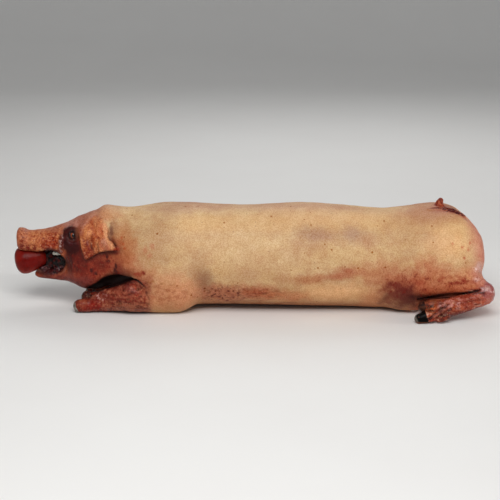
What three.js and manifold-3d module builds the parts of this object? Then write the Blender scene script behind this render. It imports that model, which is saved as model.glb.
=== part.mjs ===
// A whole roast suckling pig with an apple held in its jaws, lying on its belly with all four
// legs folded forwards and its trotters flat on the table.
// Units are millimetres and +Z is up. The snout points along -X, the pig's left side faces -Y,
// and the origin is on the table under the middle of the whole.
//
// The flesh is one skin, drawn round a field of signed distances: lofts for the trunk and the
// jaws, ellipsoids for the muscles and tapering chains for the limbs, blended into each other.
// The skin is meshed on an even grid, thinned where it is smooth, and cut flat where it rests.
import * as THREE from "three";
import { mergeVertices } from "three/addons/utils/BufferGeometryUtils.js";
import Module from "manifold-3d";

const wasm = await Module();
wasm.setup();

// ---------- driving dimensions ----------

// The trunk, neck, skull and snout as one loft: x, top, bottom and half width at each station.
const TRUNK = [
  [-490, 158, 125, 21],
  [-470, 157, 124, 24],
  [-450, 158, 123, 27],
  [-430, 161, 120, 32],
  [-406, 168, 112, 39],
  [-385, 176, 96, 46],
  [-365, 187, 78, 52],
  [-344, 194, 60, 58],
  [-328, 200, 50, 62],
  [-311, 210, 45, 66],
  [-290, 208, 40, 73],
  [-260, 205, 34, 84],
  [-220, 207, 20, 96],
  [-180, 211, 6, 102],
  [-140, 214, 4, 103],
  [-100, 212, 4, 103],
  [-30, 209, 4, 106],
  [30, 211, 3, 108],
  [94, 214, 1, 109],
  [177, 209, 0, 107],
  [260, 202, -3, 104],
  [302, 206, -3, 105],
  [344, 210, 6, 107],
  [380, 211, 18, 103],
  [416, 201, 36, 94],
  [437, 183, 52, 80],
  [458, 163, 74, 58],
  [468, 149, 88, 38],
  [474, 130, 104, 16],
];
const TRUNK_ROUND = 2.15; // exponent of the section: 2 is an ellipse, more is squarer
const TRUNK_END = 12; // how softly a loft's ends are rounded over

// The lower jaw, as the trunk is.
const JAW = [
  [-459, 71, 61, 12],
  [-445, 71, 58, 19],
  [-425, 72, 56, 26],
  [-400, 80, 54, 36],
  [-375, 100, 51, 44],
  [-350, 112, 46, 50],
  [-325, 112, 42, 54],
];
const JAW_ROUND = 2.6;
const JAW_END = 8;

const SNOUT = { x: -483, z: 141, thick: 15, halfWidth: 25, halfHeight: 22, lean: 0.1 };
const SNOUT_EDGE = 7; // rounding of the disc's rim
const NOSTRIL = { y: 9.5, z: 143, radii: [10, 4.8, 6.5] };
const LIP = [
  [-478, 13, 128, 10],
  [-455, 17, 129, 11.5],
  [-430, 22, 128, 12],
  [-406, 28, 126, 12],
  [-388, 34, 121, 12],
];
const GAPE = { x: -424, z: 97, length: 33, height: 26 }; // the open mouth, seen from the side
const TOOTH_PITCH = 8.5;
const UPPER_TEETH = { from: -415, count: 2, z: 120, y: 25, spread: 0.2, tilt: 0.1 };
const LOWER_TEETH = { from: -434, count: 4, z: 70, y: 20, spread: 0.3, tilt: -0.35 };
const TOOTH = [5, 4.6, 7];

// Muscles and hollows as ellipsoids: middle, with y from the middle plane, and radii. Each
// melts into the flesh round it over its blend.
const JOWL = { at: [-338, 40, 92], radii: [46, 26, 46], blend: 26 };
const THROAT = { at: [-396, 0, 97], radii: [34, 30, 30], blend: 5 };
const TONGUE = { at: [-420, 0, 99], radii: [28, 18, 30], blend: 8 };
const EYEBALL = { at: [-375, 38, 157], radii: [9, 9, 9], blend: 1.5 };
const SOCKET = { at: [-375, 48, 157], radii: [11, 7, 10], blend: 7 };
const BROW = { at: [-371, 34, 164], radii: [18, 8, 6], blend: 14 };
const CHEEKBONE = { at: [-373, 40, 141], radii: [15, 9, 8], blend: 14 };
const EAR_NOTCH = { at: [-292, 76, 173], radii: [6, 11, 14], blend: 10 };
const SHOULDER = { at: [-185, 60, 104], radii: [82, 48, 86], blend: 42 };
const ELBOW = { at: [-166, 61, 38], radii: [42, 38, 38], blend: 18 };
const HAM = { at: [388, 60, 110], radii: [79, 52, 78], blend: 40 };
const STIFLE = { at: [322, 60, 57], radii: [62, 40, 52], blend: 26 };
const CLEFT = { at: [484, 0, 128], radii: [16, 4, 40], blend: 22 };

// The near ear's edge, drawn in the XZ plane: from its front root round the lobe and the tip.
const EAR = [
  [-333, 195],
  [-344, 187],
  [-355, 172],
  [-357, 153],
  [-352, 130],
  [-346, 114],
  [-336, 118],
  [-323, 126],
  [-305, 133],
  [-283, 139],
  [-287, 149],
  [-295, 161],
  [-299, 173],
  [-303, 185],
  [-316, 197],
];
const EAR_RISE = 5; // how far the flap stands out from the cheek at its root
const EAR_LIFT = 0.13; // and how much further it stands out for each millimetre from the root
const EAR_ROOT = [-322, 198];
const EAR_REACH = { low: [-370, 20, 100], high: [-278, 100, 208] }; // a box round the ear
const EAR_EDGE = 8; // rounding of the flap's edge
const EAR_BLEND = 10;
const EAR_FOLD = { width: 7, depth: 4 };
const EAR_FOLDS = [
  [-335, 156, -321, 126],
  [-314, 172, -310, 142],
];

// Limb chains: x, distance from the middle plane, z and radius at each joint, and the blends
// by which they melt into what is already there.
const BLEND = { forearm: 6, shank: 16, metatarsus: 6, toe: 4, dewclaw: 3, tail: 5 };
const FOREARM = [
  [-190, 60, 36, 37],
  [-256, 63, 37, 35],
  [-296, 62, 25, 23],
  [-322, 61, 21, 20],
];
// Each trotter leans outwards, so that its inner toe lies above its outer one.
const FORE_TOES = [
  [
    [-318, 64, 19, 14],
    [-342, 66, 15, 14],
    [-360, 66, 14, 13.5],
  ],
  [
    [-312, 55, 27, 15],
    [-333, 50, 29, 13.5],
    [-346, 48, 28, 12],
  ],
];
const SHANK = [
  [350, 72, 74, 38],
  [400, 82, 76, 37],
  [438, 92, 67, 29],
  [463, 103, 56, 20],
];
const METATARSUS = [
  [463, 106, 51, 22],
  [432, 114, 38, 18.5],
  [396, 122, 29, 19.5],
  [374, 127, 25, 18.5],
];
const HIND_TOES = [
  [
    [374, 130, 19, 15],
    [348, 137, 14, 13],
    [330, 140, 9.5, 9.5],
  ],
  [
    [378, 121, 31, 15],
    [356, 120, 31, 13],
    [340, 118, 28, 10],
  ],
];
const DEWCLAW = [
  [0, 0, 15, 9],
  [-13, 2, 9, 7],
];
// Where a trotter's pair of dewclaws sits, and how far each is from the trotter's middle.
const FORE_DEWCLAWS = { x: -296, y: 58, spread: 8 };
const HIND_DEWCLAWS = { x: 383, y: 124, spread: 15 };
// The deep crease where the jowl and neck lie on the folded foreleg.
const NECK_CREASE = [
  [-336, 46, 49, 8],
  [-306, 56, 57, 12],
  [-274, 72, 66, 11],
  [-242, 90, 75, 4],
];
const NECK_CREASE_BLEND = 8;
const TAIL = [
  [380, 0, 206, 11],
  [381, 0, 216, 8],
  [383, 0, 221, 6],
];
// The butcher's cut beside the tail.
const SLIT = [
  [358, -27, 210, 2],
  [379, -27, 210, 3.5],
  [402, -26, 206, 4.5],
  [424, -22, 197, 4.5],
];
const SLIT_LIPS = { down: 5, wider: 3, blend: 10 };
const SLIT_CUT = { down: -2, wider: 0, blend: 4 };
const FAR_TROTTER = { back: 12, inward: 12, down: 6 }; // how the far fore trotter lies

// The apple: distance along its axis from the middle, and radius, from the calyx to the stalk.
const APPLE = [
  [-29, 0],
  [-32, 4],
  [-35.5, 8],
  [-34.5, 12],
  [-29, 17],
  [-17, 22.5],
  [0, 27],
  [13, 29],
  [23, 27.5],
  [29.5, 22],
  [32.5, 14],
  [30, 6.5],
  [22, 0],
];
const APPLE_AT = [-466, 0, 96.5];
const APPLE_TILT = 0.2; // radians that the stalk end points below level
const APPLE_RADIUS = 29;
const APPLE_SIDES = 28;
const APPLE_RINGS = 20;
const CLEARANCE = 0.35; // between the apple and the jaws

// Spacing of the meshing grid along each axis: finest at the head, the trotters and the tail.
const CELL_X = (x) => (x < -295 ? 3 : x < -250 || x > 310 ? 3.5 : 7);
const CELL_Y = (y) => (Math.abs(y + 24) < 14 ? 3 : 4.5);
const CELL_Z = (z) => (z < 60 ? 3.5 : 4);
const SKIN_BOX = { low: [-510, -168, -8], high: [505, 168, 236] };
const SKIN_TRIANGLES = 9900;
const UNDERSIDE = -4; // the skin reaches this low before the table cuts it flat
const TO_MIDDLE = [7.5, 0, 0]; // brings the middle of the whole's box over the origin

// ---------- fields ----------

// A smooth curve through [x, value, ...] stations, read at x: a cubic Hermite spline.
function profile(stations, column) {
  const xs = stations.map((s) => s[0]);
  const values = stations.map((s) => s[column]);
  const slopes = values.map((_, i) => {
    const a = Math.max(i - 1, 0);
    const b = Math.min(i + 1, xs.length - 1);
    return (values[b] - values[a]) / (xs[b] - xs[a]);
  });
  return (x) => {
    if (x <= xs[0]) return values[0];
    const last = xs.length - 1;
    if (x >= xs[last]) return values[last];
    let i = 0;
    while (x > xs[i + 1]) i++;
    const step = xs[i + 1] - xs[i];
    const t = (x - xs[i]) / step;
    const u = 1 - t;
    return (
      values[i] * u * u * (1 + 2 * t) +
      values[i + 1] * t * t * (3 - 2 * t) +
      step * t * u * (slopes[i] * u - slopes[i + 1] * t)
    );
  };
}

const length = (a, b, c) => Math.sqrt(a * a + b * b + c * c);

const smoothMin = (a, b, k) => {
  const h = Math.max(k - Math.abs(a - b), 0) / k;
  return Math.min(a, b) - (h * h * k) / 4;
};
const smoothMax = (a, b, k) => -smoothMin(-a, -b, k);

// A body along X whose section is a rounded oval between its top and its bottom.
function loft(stations, round, endBlend) {
  const [top, bottom, halfWidth] = [1, 2, 3].map((c) => profile(stations, c));
  const first = stations[0][0];
  const last = stations[stations.length - 1][0];
  const shape = (x, y, z) => {
    const high = top(x);
    const low = bottom(x);
    const width = halfWidth(x);
    const middle = (high + low) / 2;
    const up = z - middle;
    const reach = (Math.abs(y) / width) ** round + (Math.abs(up) / (high - middle)) ** round;
    const share = Math.max(reach ** (1 / round), 1e-3);
    const away = Math.max(length(y, up, 0), 1e-3);
    const section = away - away / share;
    return smoothMax(section, Math.max(first - x, x - last), endBlend);
  };
  const widest = Math.max(...stations.map((s) => s[3]));
  const lowest = Math.min(...stations.map((s) => s[2]));
  const highest = Math.max(...stations.map((s) => s[1]));
  return within([first, -widest, lowest], [last, widest, highest], shape);
}

// A shape with the box that holds it, so that far points can pass it by.
const within = (low, high, shape) => Object.assign(shape, { low, high });

function ellipsoid([cx, cy, cz], [rx, ry, rz]) {
  const shape = (x, y, z) => {
    const dx = (x - cx) / rx;
    const dy = (y - cy) / ry;
    const dz = (z - cz) / rz;
    const k0 = length(dx, dy, dz);
    const k1 = length(dx / rx, dy / ry, dz / rz);
    return k1 > 0 ? (k0 * (k0 - 1)) / k1 : -Math.min(rx, ry, rz);
  };
  return within([cx - rx, cy - ry, cz - rz], [cx + rx, cy + ry, cz + rz], shape);
}

// Balls of given radii strung on a line, with tapering stretches between them.
function chain(joints) {
  const links = joints.slice(1).map((b, i) => {
    const a = joints[i];
    return { a, radius: a[3], step: b.map((v, c) => v - a[c]) };
  });
  const shape = (x, y, z) => {
    let nearest = Infinity;
    for (const { a, radius, step } of links) {
      const dx = x - a[0];
      const dy = y - a[1];
      const dz = z - a[2];
      const span = step[0] * step[0] + step[1] * step[1] + step[2] * step[2];
      const along = (dx * step[0] + dy * step[1] + dz * step[2]) / span;
      const t = Math.min(Math.max(along, 0), 1);
      const off = length(dx - t * step[0], dy - t * step[1], dz - t * step[2]);
      nearest = Math.min(nearest, off - radius - t * step[3]);
    }
    return nearest;
  };
  const low = [0, 1, 2].map((c) => Math.min(...joints.map((j) => j[c] - j[3])));
  const high = [0, 1, 2].map((c) => Math.max(...joints.map((j) => j[c] + j[3])));
  return within(low, high, shape);
}

// Distance in a plane to a closed outline, smoothed through its corners: negative inside.
function outline(corners) {
  const curve = new THREE.CatmullRomCurve3(
    corners.map(([a, b]) => new THREE.Vector3(a, b, 0)),
    true,
  );
  const points = curve.getPoints(corners.length * 3);
  return (a, b) => {
    let nearest = Infinity;
    let inside = false;
    for (let i = 0; i + 1 < points.length; i++) {
      const p = points[i];
      const ex = points[i + 1].x - p.x;
      const ey = points[i + 1].y - p.y;
      const t = Math.min(Math.max(((a - p.x) * ex + (b - p.y) * ey) / (ex * ex + ey * ey), 0), 1);
      nearest = Math.min(nearest, length(a - p.x - t * ex, b - p.y - t * ey, 0));
      if (p.y > b !== p.y + ey > b && a < (ex * (b - p.y)) / ey + p.x) inside = !inside;
    }
    return inside ? -nearest : nearest;
  };
}

// ---------- the pig ----------

const trunk = loft(TRUNK, TRUNK_ROUND, TRUNK_END);
const LEFT = -1;
const RIGHT = 1;

const FAR = 1e4; // longer than anything here
const MARGIN = 12; // how far past its blend a step is reckoned

// The steps that turn the trunk into the pig, each added or cut with its own blend.
const steps = [];
function step(sign, blend, shape) {
  const low = shape.low.map((v) => v - blend - MARGIN);
  const high = shape.high.map((v) => v + blend + MARGIN);
  steps.push({ sign, blend, shape, low, high });
}
const add = (blend, shape) => step(1, blend, shape);
const cut = (blend, shape) => step(-1, blend, shape);

const addMuscle = ({ at: [x, y, z], radii, blend }, side) => {
  add(blend, ellipsoid([x, side * y, z], radii));
};
const cutHollow = ({ at: [x, y, z], radii, blend }, side) => {
  cut(blend, ellipsoid([x, side * y, z], radii));
};

function jaws() {
  add(10, loft(JAW, JAW_ROUND, JAW_END));
  for (const side of [LEFT, RIGHT]) {
    add(10, chain(placed(LIP, side)));
    addMuscle(JOWL, side);
  }
  cut(5, ellipsoid([GAPE.x, 0, GAPE.z], [GAPE.length, FAR, GAPE.height]));
  addMuscle(THROAT, RIGHT);
  addMuscle(TONGUE, RIGHT);
}

function teeth(row) {
  for (const side of [LEFT, RIGHT]) {
    for (let i = 0; i < row.count; i++) {
      const x = row.from + i * TOOTH_PITCH;
      const y = side * (row.y + row.spread * i * TOOTH_PITCH);
      add(4, ellipsoid([x, y, row.z - row.tilt * i * TOOTH_PITCH], TOOTH));
    }
  }
}

function snout() {
  const { x: middle, z: height, thick, halfWidth, halfHeight, lean } = SNOUT;
  const rim = ellipsoid([0, 0, height], [FAR, halfWidth, halfHeight]);
  const disc = (x, y, z) => {
    const along = Math.abs(x - middle + lean * (z - height));
    return smoothMax(rim(x, y, z), along - thick / 2, SNOUT_EDGE);
  };
  const low = [middle - thick, -halfWidth, height - halfHeight];
  add(9, within(low, [middle + thick, halfWidth, height + halfHeight], disc));
  for (const side of [LEFT, RIGHT]) {
    const front = SNOUT.x - SNOUT.thick / 2;
    cut(4, ellipsoid([front, side * NOSTRIL.y, NOSTRIL.z], NOSTRIL.radii));
  }
}

function eye(side) {
  addMuscle(BROW, side);
  addMuscle(CHEEKBONE, side);
  cutHollow(SOCKET, side);
  addMuscle(EYEBALL, side);
}

// How far the ear's flap stands out from the cheek: more towards its tip, less in its folds.
function earRise(x, z) {
  const away = length(x - EAR_ROOT[0], z - EAR_ROOT[1], 0);
  const folds = EAR_FOLDS.map(([ax, az, bx, bz]) => {
    const [ex, ez] = [bx - ax, bz - az];
    const t = Math.min(Math.max(((x - ax) * ex + (z - az) * ez) / (ex * ex + ez * ez), 0), 1);
    return Math.exp(-((length(x - ax - t * ex, z - az - t * ez, 0) / EAR_FOLD.width) ** 2));
  });
  return EAR_RISE + EAR_LIFT * away - EAR_FOLD.depth * Math.max(...folds);
}

function ear(side) {
  const edge = outline(EAR);
  const flap = (x, y, z) => smoothMax(trunk(x, y, z) - earRise(x, z), edge(x, z), EAR_EDGE);
  const { low, high } = EAR_REACH;
  const ends = [side * low[1], side * high[1]];
  const nearest = [low[0], Math.min(...ends), low[2]];
  const farthest = [high[0], Math.max(...ends), high[2]];
  add(EAR_BLEND, within(nearest, farthest, flap));
  cutHollow(EAR_NOTCH, side);
}

const placed = (joints, side, along = 0, out = 0, down = 0) =>
  joints.map(([x, y, z, r]) => [x + along, side * (y + out), z - down, r]);

function dewclaws({ x, y, spread }, side, along = 0, out = 0) {
  for (const apart of [-spread, spread]) {
    add(BLEND.dewclaw, chain(placed(DEWCLAW, side, x + along, y + apart + out)));
  }
}

function foreLeg(side) {
  const { back, inward, down } = side === RIGHT ? FAR_TROTTER : { back: 0, inward: 0, down: 0 };
  addMuscle(SHOULDER, side);
  addMuscle(ELBOW, side);
  add(BLEND.forearm, chain(placed(FOREARM, side, back)));
  for (const toe of FORE_TOES) add(BLEND.toe, chain(placed(toe, side, back, -inward, down)));
  dewclaws(FORE_DEWCLAWS, side, back, -inward);
  cut(NECK_CREASE_BLEND, chain(placed(NECK_CREASE, side)));
}

function hindLeg(side) {
  addMuscle(HAM, side);
  addMuscle(STIFLE, side);
  add(BLEND.shank, chain(placed(SHANK, side)));
  add(BLEND.metatarsus, chain(placed(METATARSUS, side)));
  for (const toe of HIND_TOES) add(BLEND.toe, chain(placed(toe, side)));
  dewclaws(HIND_DEWCLAWS, side);
}

const slit = ({ down, wider }) => chain(SLIT.map(([x, y, z, r]) => [x, y, z - down, r + wider]));

function tail() {
  add(BLEND.tail, chain(TAIL));
  add(SLIT_LIPS.blend, slit(SLIT_LIPS));
  cut(SLIT_CUT.blend, slit(SLIT_CUT));
  cutHollow(CLEFT, RIGHT);
}

jaws();
teeth(UPPER_TEETH);
teeth(LOWER_TEETH);
snout();
for (const side of [LEFT, RIGHT]) {
  eye(side);
  ear(side);
  foreLeg(side);
  hindLeg(side);
}
tail();

function pigField(x, y, z) {
  let d = trunk(x, y, z);
  for (const { blend, shape, sign, low, high } of steps) {
    if (x < low[0] || y < low[1] || z < low[2]) continue;
    if (x > high[0] || y > high[1] || z > high[2]) continue;
    const other = shape(x, y, z);
    d = sign > 0 ? smoothMin(d, other, blend) : smoothMax(d, -other, blend);
  }
  return d;
}

// ---------- meshing ----------

// Corners of a cube by bits, and the six tetrahedra round its long diagonal.
const CUBE_TETRAHEDRA = [
  [0, 1, 3, 7],
  [0, 3, 2, 7],
  [0, 2, 6, 7],
  [0, 6, 4, 7],
  [0, 4, 5, 7],
  [0, 5, 1, 7],
];

// Grid lines from low to high, spaced by cell(where).
function lines(low, high, cell) {
  const at = [low];
  while (at[at.length - 1] < high) at.push(at[at.length - 1] + cell(at[at.length - 1]));
  return at;
}

// The zero surface of a field on a grid of lines, by marching tetrahedra: always closed.
function isosurface(field, xs, ys, zs) {
  const [nx, ny, nz] = [xs.length, ys.length, zs.length];
  const values = new Float32Array(nx * ny * nz);
  const at = (i, j, k) => (k * ny + j) * nx + i;
  const place = (id) => [xs[id % nx], ys[Math.floor(id / nx) % ny], zs[Math.floor(id / (nx * ny))]];
  for (let id = 0; id < values.length; id++) values[id] = field(...place(id)) || 1e-4;

  const positions = [];
  const triangles = [];
  const made = new Map();
  const crossing = (a, b) => {
    const key = a < b ? a * values.length + b : b * values.length + a;
    let index = made.get(key);
    if (index === undefined) {
      const t = values[a] / (values[a] - values[b]);
      const [p, q] = [place(a), place(b)];
      index = positions.length / 3;
      positions.push(...p.map((v, i) => v + t * (q[i] - v)));
      made.set(key, index);
    }
    return index;
  };
  const face = (a, b, c) => {
    if (a !== b && b !== c && c !== a) triangles.push(a, b, c);
  };
  for (let k = 0; k + 1 < nz; k++) {
    for (let j = 0; j + 1 < ny; j++) {
      for (let i = 0; i + 1 < nx; i++) {
        const ids = [0, 1, 2, 3, 4, 5, 6, 7].map((c) =>
          at(i + (c & 1), j + ((c >> 1) & 1), k + (c >> 2)),
        );
        const filled = ids.filter((id) => values[id] < 0).length;
        if (filled === 0 || filled === 8) continue;
        for (const corners of CUBE_TETRAHEDRA) {
          tetrahedron(corners.map((c) => ids[c]), values, crossing, face);
        }
      }
    }
  }
  return { positions, triangles };
}

// The surface's one or two triangles in a tetrahedron, whose corners turn right-handed.
function tetrahedron(ids, values, crossing, face) {
  const within = [0, 1, 2, 3].filter((n) => values[ids[n]] < 0);
  const without = [0, 1, 2, 3].filter((n) => values[ids[n]] >= 0);
  if (!within.length || !without.length) return;
  const order = [...within, ...without];
  let swaps = 0;
  for (let a = 0; a < 4; a++) for (let b = a + 1; b < 4; b++) if (order[a] > order[b]) swaps++;
  const turned = swaps % 2 === 1;
  const cross = (a, b) => crossing(ids[order[a]], ids[order[b]]);
  const put = (a, b, c) => (turned ? face(a, c, b) : face(a, b, c));
  if (within.length === 1) put(cross(0, 1), cross(0, 2), cross(0, 3));
  if (within.length === 3) put(cross(0, 3), cross(1, 3), cross(2, 3));
  if (within.length === 2) {
    const [ac, ad, bd, bc] = [cross(0, 2), cross(0, 3), cross(1, 3), cross(1, 2)];
    put(ac, ad, bd);
    put(ac, bd, bc);
  }
}

// ---------- thinning ----------

// A queue that gives back the entry of least cost first.
function makeQueue() {
  const heap = [];
  const swap = (i, j) => {
    [heap[i], heap[j]] = [heap[j], heap[i]];
  };
  const push = (entry) => {
    heap.push(entry);
    let i = heap.length - 1;
    while (i > 0 && heap[(i - 1) >> 1].cost > heap[i].cost) {
      swap(i, (i - 1) >> 1);
      i = (i - 1) >> 1;
    }
  };
  const pop = () => {
    const top = heap[0];
    const last = heap.pop();
    if (heap.length) heap[0] = last;
    let i = 0;
    while (2 * i + 1 < heap.length) {
      let child = 2 * i + 1;
      if (child + 1 < heap.length && heap[child + 1].cost < heap[child].cost) child++;
      if (heap[child].cost >= heap[i].cost) break;
      swap(i, child);
      i = child;
    }
    return top;
  };
  return { heap, push, pop };
}

const minus = (a, b) => [a[0] - b[0], a[1] - b[1], a[2] - b[2]];
const dot = (a, b) => a[0] * b[0] + a[1] * b[1] + a[2] * b[2];
const cross = (a, b) => [
  a[1] * b[2] - a[2] * b[1],
  a[2] * b[0] - a[0] * b[2],
  a[0] * b[1] - a[1] * b[0],
];

// The summed square distance of a point to a set of planes, as ten numbers.
function planeQuadric(p, q, r, worth) {
  const n = cross(minus(q, p), minus(r, p));
  const size = Math.sqrt(dot(n, n));
  if (size < 1e-9) return new Array(10).fill(0);
  const [a, b, c] = n.map((v) => v / size);
  const d = -(a * p[0] + b * p[1] + c * p[2]);
  return [a * a, a * b, a * c, a * d, b * b, b * c, b * d, c * c, c * d, d * d].map(
    (v) => (v * size * worth) / 2,
  );
}

function quadricError(q, [x, y, z]) {
  const squares = q[0] * x * x + q[4] * y * y + q[7] * z * z;
  const products = q[1] * x * y + q[2] * x * z + q[5] * y * z;
  return squares + 2 * products + 2 * (q[3] * x + q[6] * y + q[8] * z) + q[9];
}

// The point of least error, or nothing where the planes don't fix one.
function quadricPoint(q) {
  const rows = [
    [q[0], q[1], q[2]],
    [q[1], q[4], q[5]],
    [q[2], q[5], q[7]],
  ];
  const right = [-q[3], -q[6], -q[8]];
  const volume = dot(rows[0], cross(rows[1], rows[2]));
  const scale = q[0] + q[4] + q[7];
  if (Math.abs(volume) < 1e-4 * scale ** 3) return null;
  const across = [cross(rows[1], rows[2]), cross(rows[2], rows[0]), cross(rows[0], rows[1])];
  return [0, 1, 2].map((i) => dot([0, 1, 2].map((j) => across[j][i]), right) / volume);
}

// Edges are drawn together, least change first, until the skin has the wanted triangles.
function thin({ positions, triangles }, wanted, worth) {
  const points = [];
  for (let i = 0; i < positions.length; i += 3) points.push(positions.slice(i, i + 3));
  const faces = [];
  const around = points.map(() => new Set());
  const quadrics = points.map(() => new Array(10).fill(0));
  for (let i = 0; i < triangles.length; i += 3) {
    const face = triangles.slice(i, i + 3);
    const corners = face.map((v) => points[v]);
    const quadric = planeQuadric(...corners, worth(...corners[0]));
    for (const v of face) {
      around[v].add(faces.length);
      for (let k = 0; k < 10; k++) quadrics[v][k] += quadric[k];
    }
    faces.push(face);
  }
  const age = points.map(() => 0);
  const queue = makeQueue();
  const neighbours = (v) => {
    const found = new Set();
    for (const f of around[v]) for (const w of faces[f]) if (w !== v) found.add(w);
    return found;
  };
  const offer = (a, b) => {
    const q = quadrics[a].map((v, k) => v + quadrics[b][k]);
    const [p, r] = [points[a], points[b]];
    const middle = p.map((v, k) => (v + r[k]) / 2);
    const edge = minus(p, r);
    const span = dot(edge, edge);
    let place = quadricPoint(q);
    if (!place || dot(minus(place, middle), minus(place, middle)) > 2 * span) place = middle;
    const cost = quadricError(q, place) + 1e-3 * span * worth(...middle);
    queue.push({ cost, a, b, place, age: age[a] + age[b] });
  };
  // Whether every triangle round v but those on the edge keeps its facing when v moves.
  const keepsFacing = (v, other, place) => {
    for (const f of around[v]) {
      const face = faces[f];
      if (face.includes(other)) continue;
      const [p, q, r] = face.map((w) => points[w]);
      const [s, t, u] = face.map((w) => (w === v ? place : points[w]));
      const before = cross(minus(q, p), minus(r, p));
      const after = cross(minus(t, s), minus(u, s));
      const sizes = Math.sqrt(dot(before, before) * dot(after, after));
      if (dot(before, after) < 0.3 * sizes || sizes < 1e-8) return false;
    }
    return true;
  };
  const join = (a, b, place) => {
    const shared = [...around[a]].filter((f) => around[b].has(f));
    const beside = neighbours(b);
    const common = [...neighbours(a)].filter((v) => beside.has(v));
    if (shared.length !== 2 || common.length !== 2) return false;
    if (!keepsFacing(a, b, place) || !keepsFacing(b, a, place)) return false;
    for (const f of shared) for (const v of faces[f]) around[v].delete(f);
    for (const f of shared) faces[f] = null;
    for (const f of around[b]) {
      faces[f][faces[f].indexOf(b)] = a;
      around[a].add(f);
    }
    around[b].clear();
    points[a] = place;
    quadrics[a] = quadrics[a].map((v, k) => v + quadrics[b][k]);
    age[a]++;
    age[b] = -1e9;
    return true;
  };
  points.forEach((_, a) => neighbours(a).forEach((b) => a < b && offer(a, b)));
  let left = faces.length;
  while (left > wanted && queue.heap.length) {
    const { a, b, place, age: offered } = queue.pop();
    if (age[a] + age[b] !== offered || !join(a, b, place)) continue;
    left -= 2;
    neighbours(a).forEach((c) => offer(a, c));
  }
  return { points, faces: faces.filter(Boolean) };
}

// ---------- solids ----------

function solidOf({ points, faces }) {
  const vertProperties = new Float32Array(points.flat());
  const triVerts = new Uint32Array(faces.flat());
  const mesh = new wasm.Mesh({ numProp: 3, vertProperties, triVerts });
  mesh.merge();
  return new wasm.Manifold(mesh);
}

function solidOfGeometry(geometry) {
  const merged = mergeVertices(geometry.deleteAttribute("normal").deleteAttribute("uv"), 1e-4);
  return new wasm.Manifold(
    new wasm.Mesh({
      numProp: 3,
      vertProperties: new Float32Array(merged.attributes.position.array),
      triVerts: new Uint32Array(merged.index.array),
    }),
  );
}

function geometryOf(solid) {
  const { vertProperties, triVerts } = solid.getMesh();
  const geometry = new THREE.BufferGeometry();
  geometry.setAttribute("position", new THREE.BufferAttribute(new Float32Array(vertProperties), 3));
  geometry.setIndex(new THREE.BufferAttribute(new Uint32Array(triVerts), 1));
  const flat = geometry.toNonIndexed();
  flat.computeVertexNormals();
  return flat;
}

// The apple turned from its half profile, grown by a margin all round, in its place.
function apple(margin) {
  const half = new THREE.CatmullRomCurve3(APPLE.map(([a, r]) => new THREE.Vector3(a, r, 0)));
  const curve = half.getPoints(APPLE_RINGS);
  const points = curve.map((p) => new THREE.Vector2(Math.max(p.y, 0), p.x));
  const scale = 1 + margin / APPLE_RADIUS;
  const turned = new THREE.LatheGeometry(points, APPLE_SIDES);
  turned.scale(scale, scale, scale);
  turned.rotateZ(Math.PI / 2);
  turned.rotateY(-APPLE_TILT);
  turned.translate(...APPLE_AT);
  return solidOfGeometry(turned);
}

// How much a triangle's shape counts while thinning: most at the head, then at the trotters.
function worth(x, y, z) {
  if (x < -290) return 6;
  if (z < UNDERSIDE / 2) return 0.2;
  return z < 60 && x > 320 && Math.abs(y) > 60 ? 5 : 1;
}

function pigSolid() {
  const { low, high } = SKIN_BOX;
  const grid = [CELL_X, CELL_Y, CELL_Z].map((cell, i) => lines(low[i], high[i], cell));
  const skin = isosurface((x, y, z) => smoothMax(pigField(x, y, z), UNDERSIDE - z, 1), ...grid);
  return solidOf(thin(skin, SKIN_TRIANGLES, worth));
}

// A box from one corner to the other.
function block(low, high) {
  const geometry = new THREE.BoxGeometry(...high.map((v, i) => v - low[i]));
  return solidOfGeometry(geometry.translate(...high.map((v, i) => (v + low[i]) / 2)));
}

function sceneMesh(name, solid, material) {
  const geometry = geometryOf(solid);
  geometry.translate(...TO_MIDDLE);
  const mesh = new THREE.Mesh(geometry, new THREE.MeshStandardMaterial(material));
  mesh.name = name;
  return mesh;
}

const table = block([-600, -300, -50], [600, 300, 0]);
const pig = pigSolid().subtract(table).subtract(apple(CLEARANCE));

const roast = new THREE.Group();
roast.add(sceneMesh("pig", pig, { color: "#d2a06f", roughness: 0.45, metalness: 0 }));
roast.add(sceneMesh("apple", apple(0), { color: "#8c2220", roughness: 0.25, metalness: 0 }));

export default roast;
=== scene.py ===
"""The looks of the roast suckling pig: its skin, eyes, teeth, hooves and the apple in its jaws.

Lengths are millimetres up to the moment a mesh is made, with the snout towards -X, the pig's left
side towards -Y and the table at z = 0. The skin is the zero surface of the same field of signed
distances as the part's solid, with finer folds, and it is coloured point by point.
"""

import itertools
import math
from collections import namedtuple

import bpy
import numpy as np
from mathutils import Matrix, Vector


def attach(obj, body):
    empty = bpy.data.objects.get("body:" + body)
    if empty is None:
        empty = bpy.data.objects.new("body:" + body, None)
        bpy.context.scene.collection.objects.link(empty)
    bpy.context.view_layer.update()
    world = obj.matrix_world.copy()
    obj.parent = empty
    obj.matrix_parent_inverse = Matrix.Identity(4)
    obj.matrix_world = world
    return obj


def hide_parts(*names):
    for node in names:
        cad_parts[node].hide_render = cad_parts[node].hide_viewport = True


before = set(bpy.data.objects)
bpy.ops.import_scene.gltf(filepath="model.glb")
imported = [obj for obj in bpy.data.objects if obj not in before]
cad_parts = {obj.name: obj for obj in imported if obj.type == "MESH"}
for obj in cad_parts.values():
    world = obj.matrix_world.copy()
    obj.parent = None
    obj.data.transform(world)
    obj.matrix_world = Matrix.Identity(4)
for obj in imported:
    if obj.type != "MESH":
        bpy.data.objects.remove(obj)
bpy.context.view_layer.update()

# ---------- driving dimensions, as in the part ----------

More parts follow.
